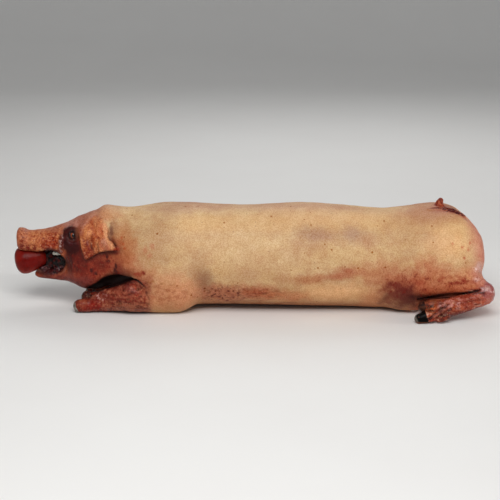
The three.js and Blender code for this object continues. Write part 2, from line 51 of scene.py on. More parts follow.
# x, top, bottom and half width at each station.
TRUNK = [
    (-490, 158, 125, 21),
    (-470, 157, 124, 24),
    (-450, 158, 123, 27),
    (-430, 161, 120, 32),
    (-406, 168, 112, 39),
    (-385, 176, 96, 46),
    (-365, 187, 78, 52),
    (-344, 194, 60, 58),
    (-328, 200, 50, 62),
    (-311, 210, 45, 66),
    (-290, 208, 40, 73),
    (-260, 205, 34, 84),
    (-220, 207, 20, 96),
    (-180, 211, 6, 102),
    (-140, 214, 4, 103),
    (-100, 212, 4, 103),
    (-30, 209, 4, 106),
    (30, 211, 3, 108),
    (94, 214, 1, 109),
    (177, 209, 0, 107),
    (260, 202, -3, 104),
    (302, 206, -3, 105),
    (344, 210, 6, 107),
    (380, 211, 18, 103),
    (416, 201, 36, 94),
    (437, 183, 52, 80),
    (458, 163, 74, 58),
    (468, 149, 88, 38),
    (474, 130, 104, 16),
]
TRUNK_ROUND = 2.15
TRUNK_END = 12
JAW = [
    (-459, 71, 61, 12),
    (-445, 71, 58, 19),
    (-425, 72, 56, 26),
    (-400, 80, 54, 36),
    (-375, 100, 51, 44),
    (-350, 112, 46, 50),
    (-325, 112, 42, 54),
]
JAW_ROUND = 2.6
JAW_END = 8
SNOUT = {"x": -483, "z": 141, "thick": 15, "half_width": 25, "half_height": 22, "lean": 0.1}
SNOUT_EDGE = 7
NOSTRIL = {"y": 9.5, "z": 143, "radii": (10, 4.8, 6.5)}
LIP = [
    (-478, 13, 128, 10),
    (-455, 17, 129, 11.5),
    (-430, 22, 128, 12),
    (-406, 28, 126, 12),
    (-388, 34, 121, 12),
]
GAPE = {"x": -424, "z": 97, "length": 33, "height": 26}
TOOTH_PITCH = 8.5
LOWER_TEETH = {"from": -434, "count": 4, "z": 70, "y": 20, "spread": 0.3, "tilt": -0.35}
TOOTH = (5, 4.6, 7)

Muscle = namedtuple("Muscle", "at radii blend")
JOWL = Muscle((-338, 40, 92), (46, 26, 46), 26)
THROAT = Muscle((-396, 0, 97), (34, 30, 30), 5)
TONGUE = Muscle((-420, 0, 99), (28, 18, 30), 8)
TONGUE_TIP = Muscle((-438, 0, 77), (21, 20, 11), 6)
EYEBALL = Muscle((-372.5, 38.5, 156), (8.6, 8.6, 8.6), 1.5)
SOCKET = Muscle((-373, 48, 156), (11, 7, 10), 7)
BROW = Muscle((-371, 34, 164), (18, 8, 6), 14)
CHEEKBONE = Muscle((-373, 40, 141), (15, 9, 8), 14)
EAR_NOTCH = Muscle((-292, 76, 173), (6, 11, 14), 10)
SHOULDER = Muscle((-185, 60, 104), (82, 48, 86), 42)
ELBOW = Muscle((-166, 61, 38), (42, 38, 38), 18)
HAM = Muscle((388, 60, 110), (79, 52, 78), 40)
STIFLE = Muscle((322, 60, 57), (62, 40, 52), 26)
CLEFT = Muscle((484, 0, 128), (16, 4, 40), 22)

EAR = [
    (-333, 195),
    (-344, 187),
    (-355, 172),
    (-357, 153),
    (-352, 130),
    (-346, 114),
    (-336, 118),
    (-323, 126),
    (-305, 133),
    (-283, 139),
    (-287, 149),
    (-295, 161),
    (-299, 173),
    (-303, 185),
    (-316, 197),
]
EAR_RISE = 5
EAR_LIFT = 0.13
EAR_ROOT = (-322, 198)
EAR_REACH = ((-370, 20, 100), (-278, 100, 208))
EAR_FOLD = {"width": 7, "depth": 4}
EAR_FOLDS = [(-335, 156, -321, 126), (-314, 172, -310, 142)]

BLEND = {"forearm": 6, "shank": 16, "metatarsus": 6, "toe": 4, "dewclaw": 3, "tail": 5}
FOREARM = [(-190, 60, 36, 37), (-252, 65, 39, 37), (-296, 62, 29, 26), (-322, 61, 21, 20)]
FORE_TOES = [
    [(-318, 64, 19, 14), (-342, 66, 15, 14), (-360, 66, 14, 13.5)],
    [(-312, 55, 27, 15), (-333, 50, 29, 13.5), (-346, 48, 28, 12)],
]
SHANK = [(350, 72, 74, 38), (400, 82, 76, 37), (438, 92, 67, 29), (463, 103, 56, 20)]
METATARSUS = [(463, 106, 51, 22), (432, 114, 38, 18.5), (396, 122, 29, 19.5), (374, 127, 25, 18.5)]
HIND_TOES = [
    [(374, 130, 19, 15), (348, 137, 14, 13), (330, 140, 9.5, 9.5)],
    [(378, 121, 31, 15), (356, 120, 31, 13), (340, 118, 28, 10)],
]
DEWCLAW = [(0, 0, 15, 9), (-13, 2, 9, 7)]
FORE_DEWCLAWS = {"x": -296, "y": 58, "spread": 8}
HIND_DEWCLAWS = {"x": 383, "y": 124, "spread": 15}
NECK_CREASE = [(-336, 46, 48, 8), (-306, 57, 60, 10), (-274, 72, 74, 8), (-248, 89, 81, 3.5)]
NECK_CREASE_BLEND = 8
TAIL = [(380, 0, 206, 11), (381, 0, 216, 8), (383, 0, 221, 6)]
SLIT = [(358, -27, 210, 2), (379, -27, 210, 3.5), (402, -26, 206, 4.5), (424, -22, 197, 4.5)]
SLIT_LIPS = {"down": 5, "wider": 3, "blend": 10}
SLIT_CUT = {"down": -2, "wider": 0, "blend": 4}
FAR_TROTTER = {"back": 12, "inward": 12, "down": 6}

APPLE = [
    (-29, 0),
    (-32, 4),
    (-35.5, 8),
    (-34.5, 12),
    (-29, 17),
    (-17, 22.5),
    (0, 27),
    (13, 29),
    (23, 27.5),
    (29.5, 22),
    (32.5, 14),
    (30, 6.5),
    (22, 0),
]
APPLE_AT = (-466, 0, 96.5)
APPLE_TILT = 0.2
APPLE_AXIS = np.array([-math.cos(APPLE_TILT), 0, -math.sin(APPLE_TILT)])
TO_MIDDLE = np.array([7.5, 0, 0])  # from where the fields are worked out to the part's own frame

# ---------- finer forms, which only the looks have ----------

EAR_THICK = 5
EAR_DIVE = 7  # how deep the ear's upper edge sinks
EYE_LID = {"wide": 6.4, "tall": 8.6, "thick": 2.3, "turn": 0.35}
EYE_OUT = np.array([-0.02, 0.96, 0.22])  # where the eye looks, with +Y away from the middle
# The crease between the toes of a hind trotter.
TOE_CREASE = [(350, 149, 13), (364, 147, 25), (384, 141, 38)]
# The wet ridge in front of the eye.
WET_RIDGE = [(-397, 38, 152, 3), (-398, 41, 143, 4), (-398, 42, 134, 4), (-396, 42, 126, 3)]
# The dark fold where the ham lies on the metatarsus.
HAM_FOLD = [
    (331, 100, 39, 1),
    (355, 104, 43, 3),
    (375, 107, 46.5, 3.6),
    (394, 110, 49, 3.8),
    (413, 113, 52, 2.8),
    (433, 118, 57.5, 1.6),
    (453, 121, 64, 0.6),
]
HAM_FOLD_DEEP = 7  # how far in the fold is cut a second time
# The fold that runs on from the neck's crease over the forearm.
ARM_FOLD = [(-248, 90, 81, 3), (-239, 98, 79, 2), (-231, 102, 73, 1.3), (-225, 103, 65, 0.7)]

# The grid on which the skin is meshed. Along x, each cell is used up to the x before it.
CELLS = (((-295, 1.8), (-200, 2.1), (310, 2.8), (1e4, 2.1)), 2.1, 2.1)
SKIN_BOX = ((-512, -168, -6), (506, 168, 236))
FLATTEST = 0.2  # the least steepness that a step towards the surface counts with
MOST_MOVE = 0.9  # the longest such step
ON_TABLE = 0.3  # lower points lie flat on the table
CLEAR_OF_TABLE = 0.05  # the rest stays at least this high
AT_APPLE = 1.5  # nearer points keep to the hollow round the apple
APPLE_ROOM = 0.5  # the gap left round the apple
APPLE_REACH = ((-510, -40, 55), (-415, 40, 135))  # a box round it

LEFT = -1
RIGHT = 1
SIDES = {"left": LEFT, "right": RIGHT}
FLAT = (1, 0, 1)  # drops y
FAR = 1e4
TINY = 1e-6  # keeps a division from being by nothing
CORE = 1e-3  # the least distance from a body's axis, in millimetres
MARGIN = 12  # how far past its own box a form is still worked out
MILLIMETRE = 0.001  # in metres

# ---------- fields ----------


def length(*parts):
    """The length of a vector given part by part."""
    return np.sqrt(sum(part * part for part in parts))


def smooth_min(a, b, k):
    """The lesser of two fields, melted together over k."""
    h = np.maximum(k - np.abs(a - b), 0) / k
    return np.minimum(a, b) - h * h * k / 4


def smooth_max(a, b, k):
    """The greater of two fields, rounded over k."""
    return -smooth_min(-a, -b, k)


def ramp(value, start, end):
    """0 at start, 1 at end, and a smooth rise between them."""
    t = np.clip((value - start) / (end - start), 0, 1)
    return t * t * (3 - 2 * t)


def profile(stations, column):
    """A smooth curve through one column of the stations, read at x."""
    table = np.array(stations, dtype=float)
    xs, values = table[:, 0], table[:, column]
    before = np.maximum(np.arange(len(xs)) - 1, 0)
    after = np.minimum(np.arange(len(xs)) + 1, len(xs) - 1)
    slopes = (values[after] - values[before]) / (xs[after] - xs[before])

    def read(x):
        x = np.clip(x, xs[0], xs[-1])
        i = np.clip(np.searchsorted(xs, x, side="right") - 1, 0, len(xs) - 2)
        step = xs[i + 1] - xs[i]
        t = (x - xs[i]) / step
        u = 1 - t
        ends = values[i] * u * u * (1 + 2 * t) + values[i + 1] * t * t * (3 - 2 * t)
        return ends + step * t * u * (slopes[i] * u - slopes[i + 1] * t)

    return read


Shape = namedtuple("Shape", "read low high")


def loft(stations, roundness, end_blend):
    """A body along X whose section is a rounded oval."""
    top, bottom, half_width = (profile(stations, column) for column in (1, 2, 3))
    table = np.array(stations, dtype=float)
    first, last = table[0, 0], table[-1, 0]
    widest = table[:, 3].max()

    def read(x, y, z):
        high, low, width = top(x), bottom(x), half_width(x)
        middle = (high + low) / 2
        up = z - middle
        reach = (np.abs(y) / width) ** roundness + (np.abs(up) / (high - middle)) ** roundness
        share = np.maximum(reach ** (1 / roundness), CORE)
        away = np.maximum(length(y, up), CORE)
        return smooth_max(away - away / share, np.maximum(first - x, x - last), end_blend)

    low = (first, -widest, table[:, 2].min())
    return Shape(read, low, (last, widest, table[:, 1].max()))


def ellipsoid(at, radii):
    """An ellipsoid, whose field is a good guess at the distance."""

    def read(x, y, z):
        parts = [(v - c) / r for v, c, r in zip((x, y, z), at, radii)]
        k0 = length(*parts)
        k1 = length(*(part / r for part, r in zip(parts, radii)))
        return k0 * (k0 - 1) / np.maximum(k1, TINY)

    low = [c - r for c, r in zip(at, radii)]
    return Shape(read, low, [c + r for c, r in zip(at, radii)])


def chain(joints):
    """Balls strung on a line, with tapering stretches between them."""
    table = np.array(joints, dtype=float)

    def read(x, y, z):
        nearest = np.inf
        for a, b in zip(table, table[1:]):
            step = b - a
            dx, dy, dz = x - a[0], y - a[1], z - a[2]
            along = (dx * step[0] + dy * step[1] + dz * step[2]) / (step[:3] ** 2).sum()
            t = np.clip(along, 0, 1)
            off = length(dx - t * step[0], dy - t * step[1], dz - t * step[2])
            nearest = np.minimum(nearest, off - a[3] - t * step[3])
        return nearest

    low = (table[:, :3] - table[:, 3:]).min(axis=0)
    return Shape(read, low, (table[:, :3] + table[:, 3:]).max(axis=0))


def closed_curve(corners, steps=4):
    """Points on a smooth closed curve through the corners."""
    p = np.array(corners, dtype=float)
    before, after, beyond = np.roll(p, 1, 0), np.roll(p, -1, 0), np.roll(p, -2, 0)
    points = []
    for t in np.arange(steps) / steps:
        linear = (after - before) * t
        square = (2 * before - 5 * p + 4 * after - beyond) * t**2
        cube = (3 * p - before - 3 * after + beyond) * t**3
        points.append((2 * p + linear + square + cube) / 2)
    return np.stack(points, axis=1).reshape(-1, 2)


def outline(points):
    """Distance in a plane to a closed outline, negative inside."""

    def read(a, b):
        nearest = np.inf
        inside = False
        for p, q in zip(points, np.roll(points, -1, 0)):
            ex, ey = q - p
            t = np.clip(((a - p[0]) * ex + (b - p[1]) * ey) / (ex * ex + ey * ey), 0, 1)
            nearest = np.minimum(nearest, length(a - p[0] - t * ex, b - p[1] - t * ey))
            spans = (p[1] > b) != (q[1] > b)
            slope = ex / ey if ey else 0
            inside = inside ^ (spans & (a < slope * (b - p[1]) + p[0]))
        return np.where(inside, -nearest, nearest)

    return read


# ---------- the pig ----------

Step = namedtuple("Step", "sign blend read low high")
STEPS = []
trunk = loft(TRUNK, TRUNK_ROUND, TRUNK_END)


def put(sign, blend, shape):
    """Keeps a shape as the next step of the pig's field, with the box outside which it counts
    for nothing."""
    low = [v - blend - MARGIN for v in shape.low]
    high = [v + blend + MARGIN for v in shape.high]
    STEPS.append(Step(sign, blend, shape.read, low, high))


def add(blend, shape):
    put(1, blend, shape)


def cut(blend, shape):
    put(-1, blend, shape)


def placed(joints, side, along=0, out=0, down=0):
    """A limb's joints on one side, moved back, outwards and down."""
    return [(x + along, side * (y + out), z - down, r) for x, y, z, r in joints]


def muscle(form, side):
    """A muscle's ellipsoid on one side."""
    x, y, z = form.at
    return ellipsoid((x, side * y, z), form.radii)


def jaws():
    add(10, loft(JAW, JAW_ROUND, JAW_END))
    for side in SIDES.values():
        add(10, chain(placed(LIP, side)))
        add(JOWL.blend, muscle(JOWL, side))
    cut(5, ellipsoid((GAPE["x"], 0, GAPE["z"]), (GAPE["length"], FAR, GAPE["height"])))
    add(THROAT.blend, muscle(THROAT, RIGHT))
    add(TONGUE.blend, muscle(TONGUE, RIGHT))
    add(TONGUE_TIP.blend, muscle(TONGUE_TIP, RIGHT))


def lower_teeth():
    row = LOWER_TEETH
    for side, i in itertools.product(SIDES.values(), range(row["count"])):
        along = i * TOOTH_PITCH
        at = (row["from"] + along, side * (row["y"] + row["spread"] * along))
        add(4, ellipsoid((*at, row["z"] - row["tilt"] * along), TOOTH))


def snout():
    middle, height = SNOUT["x"], SNOUT["z"]
    width, tall, thick = SNOUT["half_width"], SNOUT["half_height"], SNOUT["thick"]
    rim = ellipsoid((0, 0, height), (FAR, width, tall))

    def disc(x, y, z):
        along = np.abs(x - middle + SNOUT["lean"] * (z - height))
        return smooth_max(rim.read(x, y, z), along - thick / 2, SNOUT_EDGE)

    low = (middle - thick, -width, height - tall)
    add(9, Shape(disc, low, (middle + thick, width, height + tall)))
    for side in SIDES.values():
        at = (middle - thick / 2, side * NOSTRIL["y"], NOSTRIL["z"])
        cut(4, ellipsoid(at, NOSTRIL["radii"]))


def eye_frame(side):
    """The middle of an eye, and its outward, level and upright directions."""
    out = EYE_OUT / np.linalg.norm(EYE_OUT) * (1, side, 1)
    level = np.cross(out, (0, 0, 1))
    level /= np.linalg.norm(level)
    middle = np.array(EYEBALL.at) * (1, side, 1)
    return middle, out, level, np.cross(level, out)


def lids(side):
    """A rolled rim round the eye."""
    middle, out, level, up = eye_frame(side)
    turn = EYE_LID["turn"] * side
    joints = []
    for angle in np.linspace(0, 2 * math.pi, 17):
        across = EYE_LID["wide"] * math.cos(angle)
        along = EYE_LID["tall"] * math.sin(angle)
        a = across * math.cos(turn) - along * math.sin(turn)
        b = across * math.sin(turn) + along * math.cos(turn)
        rise = math.sqrt(max(EYEBALL.radii[0] ** 2 - a * a - b * b, 9)) + 0.6
        joints.append((*(middle + out * rise + level * a + up * b), EYE_LID["thick"]))
    return chain(joints)


def eye(side):
    add(BROW.blend, muscle(BROW, side))
    add(CHEEKBONE.blend, muscle(CHEEKBONE, side))
    cut(SOCKET.blend, muscle(SOCKET, side))
    add(3.5, lids(side))
    add(6, chain(placed(WET_RIDGE, side)))


def ear_top(x, z):
    """1 on the ear's upper and front part, whose edges sink into the brow."""
    return ramp(z + 0.4 * (x + 350), 140, 168) * ramp(x, -294, -308)


def ear_melt(x, z):
    """1 along the ear's upper and front edges."""
    return ear_top(x, z) * ramp(ear_edge(x, z), -15, 0)


def ear_rise(x, z):
    """How far the ear's flap stands out from the cheek."""
    away = length(x - EAR_ROOT[0], z - EAR_ROOT[1])
    fold = 0
    for ax, az, bx, bz in EAR_FOLDS:
        ex, ez = bx - ax, bz - az
        t = np.clip(((x - ax) * ex + (z - az) * ez) / (ex * ex + ez * ez), 0, 1)
        near = length(x - ax - t * ex, z - az - t * ez) / EAR_FOLD["width"]
        fold = np.maximum(fold, np.exp(-near * near))
    rise = EAR_RISE * (0.2 + 0.8 * ramp(away, 12, 46)) + EAR_LIFT * away
    return rise - EAR_FOLD["depth"] * fold - EAR_DIVE * ear_melt(x, z)


ear_edge = outline(closed_curve(EAR))


def ear(side):
    """An ear's flap on the cheek, and the notch behind its root."""

    def flap(x, y, z):
        above = trunk.read(x, y, z) - ear_rise(x, z)
        sheet = np.abs(above + EAR_THICK / 2) - EAR_THICK / 2
        return smooth_max(sheet, ear_edge(x, z), 4)

    low, high = EAR_REACH
    ends = sorted((side * low[1], side * high[1]))
    add(9, Shape(flap, (low[0], ends[0], low[2]), (high[0], ends[1], high[2])))
    cut(EAR_NOTCH.blend, muscle(EAR_NOTCH, side))


def dewclaws(pair, side, along=0, out=0):
    for apart in (-pair["spread"], pair["spread"]):
        joints = placed(DEWCLAW, side, pair["x"] + along, pair["y"] + apart + out)
        add(BLEND["dewclaw"], chain(joints))


def trotter_shift(side):
    """How far back, inwards and down a fore trotter lies."""
    return tuple(FAR_TROTTER.values()) if side == RIGHT else (0, 0, 0)


def fore_leg(side):
    back, inward, down = trotter_shift(side)
    add(SHOULDER.blend, muscle(SHOULDER, side))
    add(ELBOW.blend, muscle(ELBOW, side))
    add(BLEND["forearm"], chain(placed(FOREARM, side, back)))
    for toe in FORE_TOES:
        add(BLEND["toe"], chain(placed(toe, side, back, -inward, down)))
    dewclaws(FORE_DEWCLAWS, side, back, -inward)
    cut(NECK_CREASE_BLEND, chain(placed(NECK_CREASE, side)))
    cut(3, chain(placed(ARM_FOLD, side)))


def hind_leg(side):
    add(HAM.blend, muscle(HAM, side))
    add(STIFLE.blend, muscle(STIFLE, side))
    add(BLEND["shank"], chain(placed(SHANK, side)))
    add(BLEND["metatarsus"], chain(placed(METATARSUS, side)))
    for toe in HIND_TOES:
        add(BLEND["toe"], chain(placed(toe, side)))
    dewclaws(HIND_DEWCLAWS, side)
    cut(4, chain(placed(HAM_FOLD, side)))
    cut(4, chain(placed(HAM_FOLD, side, out=-HAM_FOLD_DEEP)))


def slit(form):
    """The cut beside the tail, or the wider lips round it."""
    return chain([(x, y, z - form["down"], r + form["wider"]) for x, y, z, r in SLIT])


def tail():
    add(BLEND["tail"], chain(TAIL))
    add(SLIT_LIPS["blend"], slit(SLIT_LIPS))
    cut(SLIT_CUT["blend"], slit(SLIT_CUT))
    cut(CLEFT.blend, muscle(CLEFT, RIGHT))


jaws()
lower_teeth()
snout()
for side in SIDES.values():
    eye(side)
    ear(side)
    fore_leg(side)
    hind_leg(side)
tail()


def apple_outline(steps):
    """The closed curve of the apple's section, from its foot over the top and back."""
    return closed_curve(APPLE + [(along, -away) for along, away in APPLE[-2:0:-1]], steps)


apple_edge = outline(apple_outline(4))


def apple_field(x, y, z):
    """Distance to the apple, which is turned about its own axis."""
    dx, dy, dz = (v - c for v, c in zip((x, y, z), APPLE_AT))
    along = dx * APPLE_AXIS[0] + dz * APPLE_AXIS[2]
    around = np.sqrt(np.maximum(dx * dx + dy * dy + dz * dz - along * along, 0))
    return apple_edge(along, around)


def join(d, step, other):
    """The pig's field so far with one more shape added to it or cut from it."""
    if step.sign > 0:
        return smooth_min(d, other, step.blend)
    return smooth_max(d, -other, step.blend)


def pig_at(points):
    """The pig's field at each point."""
    x, y, z = points.T
    d = trunk.read(x, y, z)
    for step in STEPS:
        near = np.all((points > step.low) & (points < step.high), axis=1)
        if near.any():
            d[near] = join(d[near], step, step.read(x[near], y[near], z[near]))
    return d


def pig_on(axes):
    """The pig's field on a grid, cut flat by the table and hollowed for the apple."""
    x, y, z = np.ix_(*axes)
    d = trunk.read(x, y, z)
    hollow = Step(-1, 0.8, lambda *at: apple_field(*at) - APPLE_ROOM, *APPLE_REACH)
    for step in STEPS + [hollow]:
        ends = (np.searchsorted(*reach) for reach in zip(axes, zip(step.low, step.high)))
        spans = tuple(slice(*pair) for pair in ends)
        if all(span.start < span.stop for span in spans):
            other = step.read(x[spans[0]], y[:, spans[1]], z[:, :, spans[2]])
            d[spans] = join(d[spans], step, other)
    return np.maximum(d, -z)


# ---------- meshing ----------

CORNERS = list(itertools.product((0, 1), repeat=3))  # of a grid's cell


def crossings(values, axes, cells):
    """The middle of the places where each cell's edges cross the zero surface."""
    total = np.zeros((len(cells), 3))
    count = np.zeros((len(cells), 1))
    for axis, corner in itertools.product(range(3), CORNERS):
        if corner[axis]:
            continue
        start = cells + corner
        end = start.copy()
        end[:, axis] += 1
        a, b = values[tuple(start.T)], values[tuple(end.T)]
        crosses = (a < 0) != (b < 0)
        t = (a / np.where(crosses, a - b, 1))[:, None]
        p = np.stack([axes[k][start[:, k]] for k in range(3)], axis=1)
        q = np.stack([axes[k][end[:, k]] for k in range(3)], axis=1)
        total += np.where(crosses[:, None], p + t * (q - p), 0)
        count += crosses[:, None]
    return total / count


def quads_across(inside, index, axis):
    """A quad, facing outwards, round each grid edge along an axis that crosses the surface."""
    b, c = (axis + 1) % 3, (axis + 2) % 3
    low = [slice(None)] * 3
    high = [slice(None)] * 3
    low[axis], high[axis] = slice(None, -1), slice(1, None)
    edges = np.argwhere(inside[tuple(low)] != inside[tuple(high)])
    inner = (edges[:, b] > 0) & (edges[:, c] > 0)
    inner &= (edges[:, b] < index.shape[b]) & (edges[:, c] < index.shape[c])
    edges = edges[inner]
    ring = []
    for back_b, back_c in ((1, 1), (0, 1), (0, 0), (1, 0)):
        cell = edges.copy()
        cell[:, b] -= back_b
        cell[:, c] -= back_c
        ring.append(index[tuple(cell.T)])
    quad = np.stack(ring, axis=1)
    leaving = inside[tuple(edges.T)]
    return np.where(leaving[:, None], quad, quad[:, ::-1])


def surface(values, axes):
    """The zero surface of a field on a grid, with a point in each mixed cell."""
    inside = values < 0
    shape = [n - 1 for n in values.shape]
    filled = np.zeros(shape, dtype=np.int8)
    for corner in CORNERS:
        filled += inside[tuple(slice(c, c + n) for c, n in zip(corner, shape))]
    cells = np.argwhere((filled > 0) & (filled < len(CORNERS)))
    index = np.full(shape, -1, dtype=np.int64)
    index[tuple(cells.T)] = np.arange(len(cells))
    quads = [quads_across(inside, index, axis) for axis in range(3)]
    return crossings(values, axes, cells), np.concatenate(quads)


def axis_lines(low, high, cell):
    """Grid lines from low to high, with the cell that holds up to each x in turn."""
    if not isinstance(cell, tuple):
        return np.arange(low, high + cell, cell)
    at = [low]
    while at[-1] < high:
        at.append(at[-1] + next(size for end, size in cell if at[-1] < end))
    return np.array(at)


def gradient(read, points, reach=0.6):
    """The direction in which a field grows fastest at each point."""
    parts = []
    for axis in np.eye(3) * reach:
        parts.append(read(points + axis) - read(points - axis))
    return np.stack(parts, axis=1) / (2 * reach)


def unit(vectors):
    """The vectors, each made 1 long."""
    return vectors / np.maximum(np.linalg.norm(vectors, axis=1, keepdims=True), TINY)


def step_to(read, points, slope, most):
    """How far each point moves to come to a field's zero surface, at most by a given step."""
    steep = np.maximum((slope**2).sum(axis=1, keepdims=True), FLATTEST)
    return np.clip(-read(points)[:, None] * slope / steep, -most, most)


def carve(shape, cell):
    """The surface of a small shape, meshed on an even grid."""
    axes = [np.arange(a - 2 * cell, b + 3 * cell, cell) for a, b in zip(shape.low, shape.high)]
    x, y, z = np.ix_(*axes)
    points, quads = surface(shape.read(x, y, z) + 0 * (x + y + z), axes)

    def read(p):
        return shape.read(*p.T)

    return points + step_to(read, points, gradient(read, points, 0.3), cell / 2), quads


# ---------- noise ----------

HASH = (73856093, 19349663, 83492791)  # large primes that scatter a cell's three numbers
SCATTER = 1274126177
SEED_STEP = 17.3


def noise(points, size, seed=0):
    """Smooth noise from about -1 to 1, with features of the given size."""
    p = points / size + seed * SEED_STEP
    cell = np.floor(p).astype(np.int64)
    f = p - cell
    fade = f * f * f * (f * (f * 6 - 15) + 10)
    total = 0
    for corner in CORNERS:
        code = np.bitwise_xor.reduce((cell + corner) * HASH, axis=1)
        code = (code ^ (code >> 13)) * SCATTER
        code ^= code >> 16
        slope = np.stack([(code >> shift) & 255 for shift in (0, 8, 16)], axis=1) / 127.5 - 1
        weight = np.where(corner, fade, 1 - fade).prod(axis=1)
        total = total + weight * ((f - corner) * slope).sum(axis=1)
    return total * 1.5


def layers(points, size, count=3, seed=0):
    """Noise on several scales at once, each half the last."""
    return sum(noise(points, size / 2**i, seed + i) / 2**i for i in range(count))


def mirrored(points):
    """The points with y measured from the middle plane, so both sides count as one."""
    return points * FLAT + np.abs(points) * (0, 1, 0)


def path_distance(points, path):
    """Distance to a broken line."""
    table = np.array(path, dtype=float)[:, :3]
    nearest = np.full(len(points), np.inf)
    for a, b in zip(table, table[1:]):
        step = b - a
        t = np.clip(((points - a) @ step) / (step @ step), 0, 1)
        off = np.linalg.norm(points - a - t[:, None] * step, axis=1)
        nearest = np.minimum(nearest, off)
    return nearest


def near_path(points, path):
    """Distance to a broken line or its mirror image, whichever is on the point's side."""
    return path_distance(mirrored(points), path)


def patch(points, at, radii, soft=0.4, rough=0.0, seed=1, size=14):
    """1 inside an ellipsoid on either side of the pig, falling to 0 round its edge."""
    away = np.linalg.norm((mirrored(points) - at) / radii, axis=1)
    if rough:
        near = away < 1 + soft + 2 * rough
        away[near] += rough * layers(points[near], size, 3, seed)
    return ramp(away, 1 + soft, 1 - soft)


# ---------- relief ----------

# Folds pressed into the skin of both sides: their line, half width and depth.
Fold = namedtuple("Fold", "path width depth")
FOLDS = [
    Fold([(-222, 102, 64), (-221, 98, 50), (-215, 98, 38), (-216, 96, 26)], 1.6, 1.5),  # elbow
    Fold([(-284, 93, 35), (-272, 95, 31), (-258, 96, 33)], 2.0, 1.2),
    Fold([(268, 94, 44), (262, 84, 32), (254, 70, 20)], 6, 0.9),  # flank
    Fold([(-389, 46, 119), (-386, 50, 104), (-382, 52, 88)], 1.8, 1.6),  # corner of the mouth
    Fold([(-381, 50, 122), (-378, 54, 104), (-374, 56, 88)], 2.0, 1.1),
    Fold(TOE_CREASE, 3.0, 4.5),
    Fold([(368, 149, 10), (378, 147, 22), (392, 141, 31)], 2.2, 3),
]
EAR_LINES = [
    [(-319, 0, 158), (-320, 0, 146), (-318, 0, 128)],
    [(-335, 0, 156), (-333, 0, 140), (-325, 0, 127)],
]
EAR_VALLEY = [(-333, 0, 184), (-327, 0, 168), (-325, 0, 150)]
EAR_CUSHION = ((-304, 0, 146), (13, FAR, 14))
# Lines along which painted shade is laid: the neck's recess, under the ham and under the forearm's
# fold.
RECESS = chain(NECK_CREASE)
HAM_FOLD_SHADE = chain(HAM_FOLD)
ARM_FOLD_SHADE = chain(ARM_FOLD)


def mouth_share(p):
    """1 on the walls of the open mouth and what lies in it."""
    away = length((p[:, 0] - GAPE["x"]) / GAPE["length"], (p[:, 2] - GAPE["z"]) / GAPE["height"])
    return ramp(away, 1.08, 0.98) * ramp(p[:, 0], -462, -454)


def ear_share(p):
    """1 on the ears' flaps."""
    edge = ear_edge(p[:, 0], p[:, 2])
    above = trunk.read(*p.T) - ear_rise(p[:, 0], p[:, 2])
    return ramp(edge, 1.5, -1.5) * ramp(above, -4, -1.5) * (p[:, 2] > 100)


def ear_front(p):
    """1 along the ears' front edge, where they melt into the brow."""
    return patch(p, (-350, 0, 170), (16, FAR, 36), 0.4)


def hind_foot_share(p):
    """1 on the hind trotters."""
    share = ramp(np.abs(p[:, 1]), 100, 112) * ramp(p[:, 0], 300, 318)
    line = 74 - (470 - p[:, 0]) * 0.32
    return share * ramp(p[:, 2] - line, 6, -2)


def fore_foot_share(p):
    """1 on the forearms and fore trotters."""
    line = 78 - np.maximum(-250 - p[:, 0], 0) * 0.3
    share = ramp(p[:, 0], -206, -230) * ramp(p[:, 2] - line, 4, -4)
    return share * ramp(np.abs(p[:, 1]), 20, 30)


def eye_distance(p):
    """Distance from an eye's middle in the plane across its gaze."""
    best = np.full(len(p), np.inf)
    for side in SIDES.values():
        middle, out, level, up = eye_frame(side)
        away = p - middle
        flat = length(away @ level, away @ up)
        best = np.where(p[:, 1] * side > 0, flat + ramp(away @ out, -10, -25) * FAR, best)
    return best


def bell(away, width):
    """1 on a line, falling smoothly to 0 on both sides of it."""
    return np.exp(-((away / width) ** 2))


def ear_relief(p):
    """The ears' cushions, valleys and lines."""
    ears = ear_share(p)
    rise = 3.0 * ears * patch(p, *EAR_CUSHION, soft=0.5) + ears * 1.1 * noise(p, 9, 13)
    rise += 1.8 * ears * patch(p, (-314, 0, 176), (12, FAR, 13), 0.6)
    for line in EAR_LINES:
        rise -= 2.4 * ears * bell(path_distance(p * FLAT, line), 2.6)
    return rise - 1.8 * ears * bell(path_distance(p * FLAT, EAR_VALLEY), 5)


def head_relief(p):
    """The face's wrinkles, the mouth's lumps and the rings round the eyes."""
    head = ramp(p[:, 0], -300, -350)
    rise = head * (0.45 * noise(p, 11, 7) + 0.3 * noise(p, 5, 8))
    mouth = mouth_share(p)
    lumps = 1 - 2 * np.abs(noise(p, 11, 11))
    rise += mouth * (1.8 * lumps + 1.0 * noise(p, 5, 12))
    ring = eye_distance(p)
    waves = np.cos(ring * 2 * math.pi / 4.6) * ramp(ring, 9, 12) * ramp(ring, 27, 16)
    rise += 0.5 * waves * (0.6 + 0.6 * noise(p, 14, 14))
    rise += patch(p, (-398, 41, 140), (6, 14, 17)) * 1.1 * noise(p, 4.6, 15)
    return rise + patch(p, (-425, 34, 138), (20, 14, 14)) * 0.7 * noise(p, 5.5, 19)


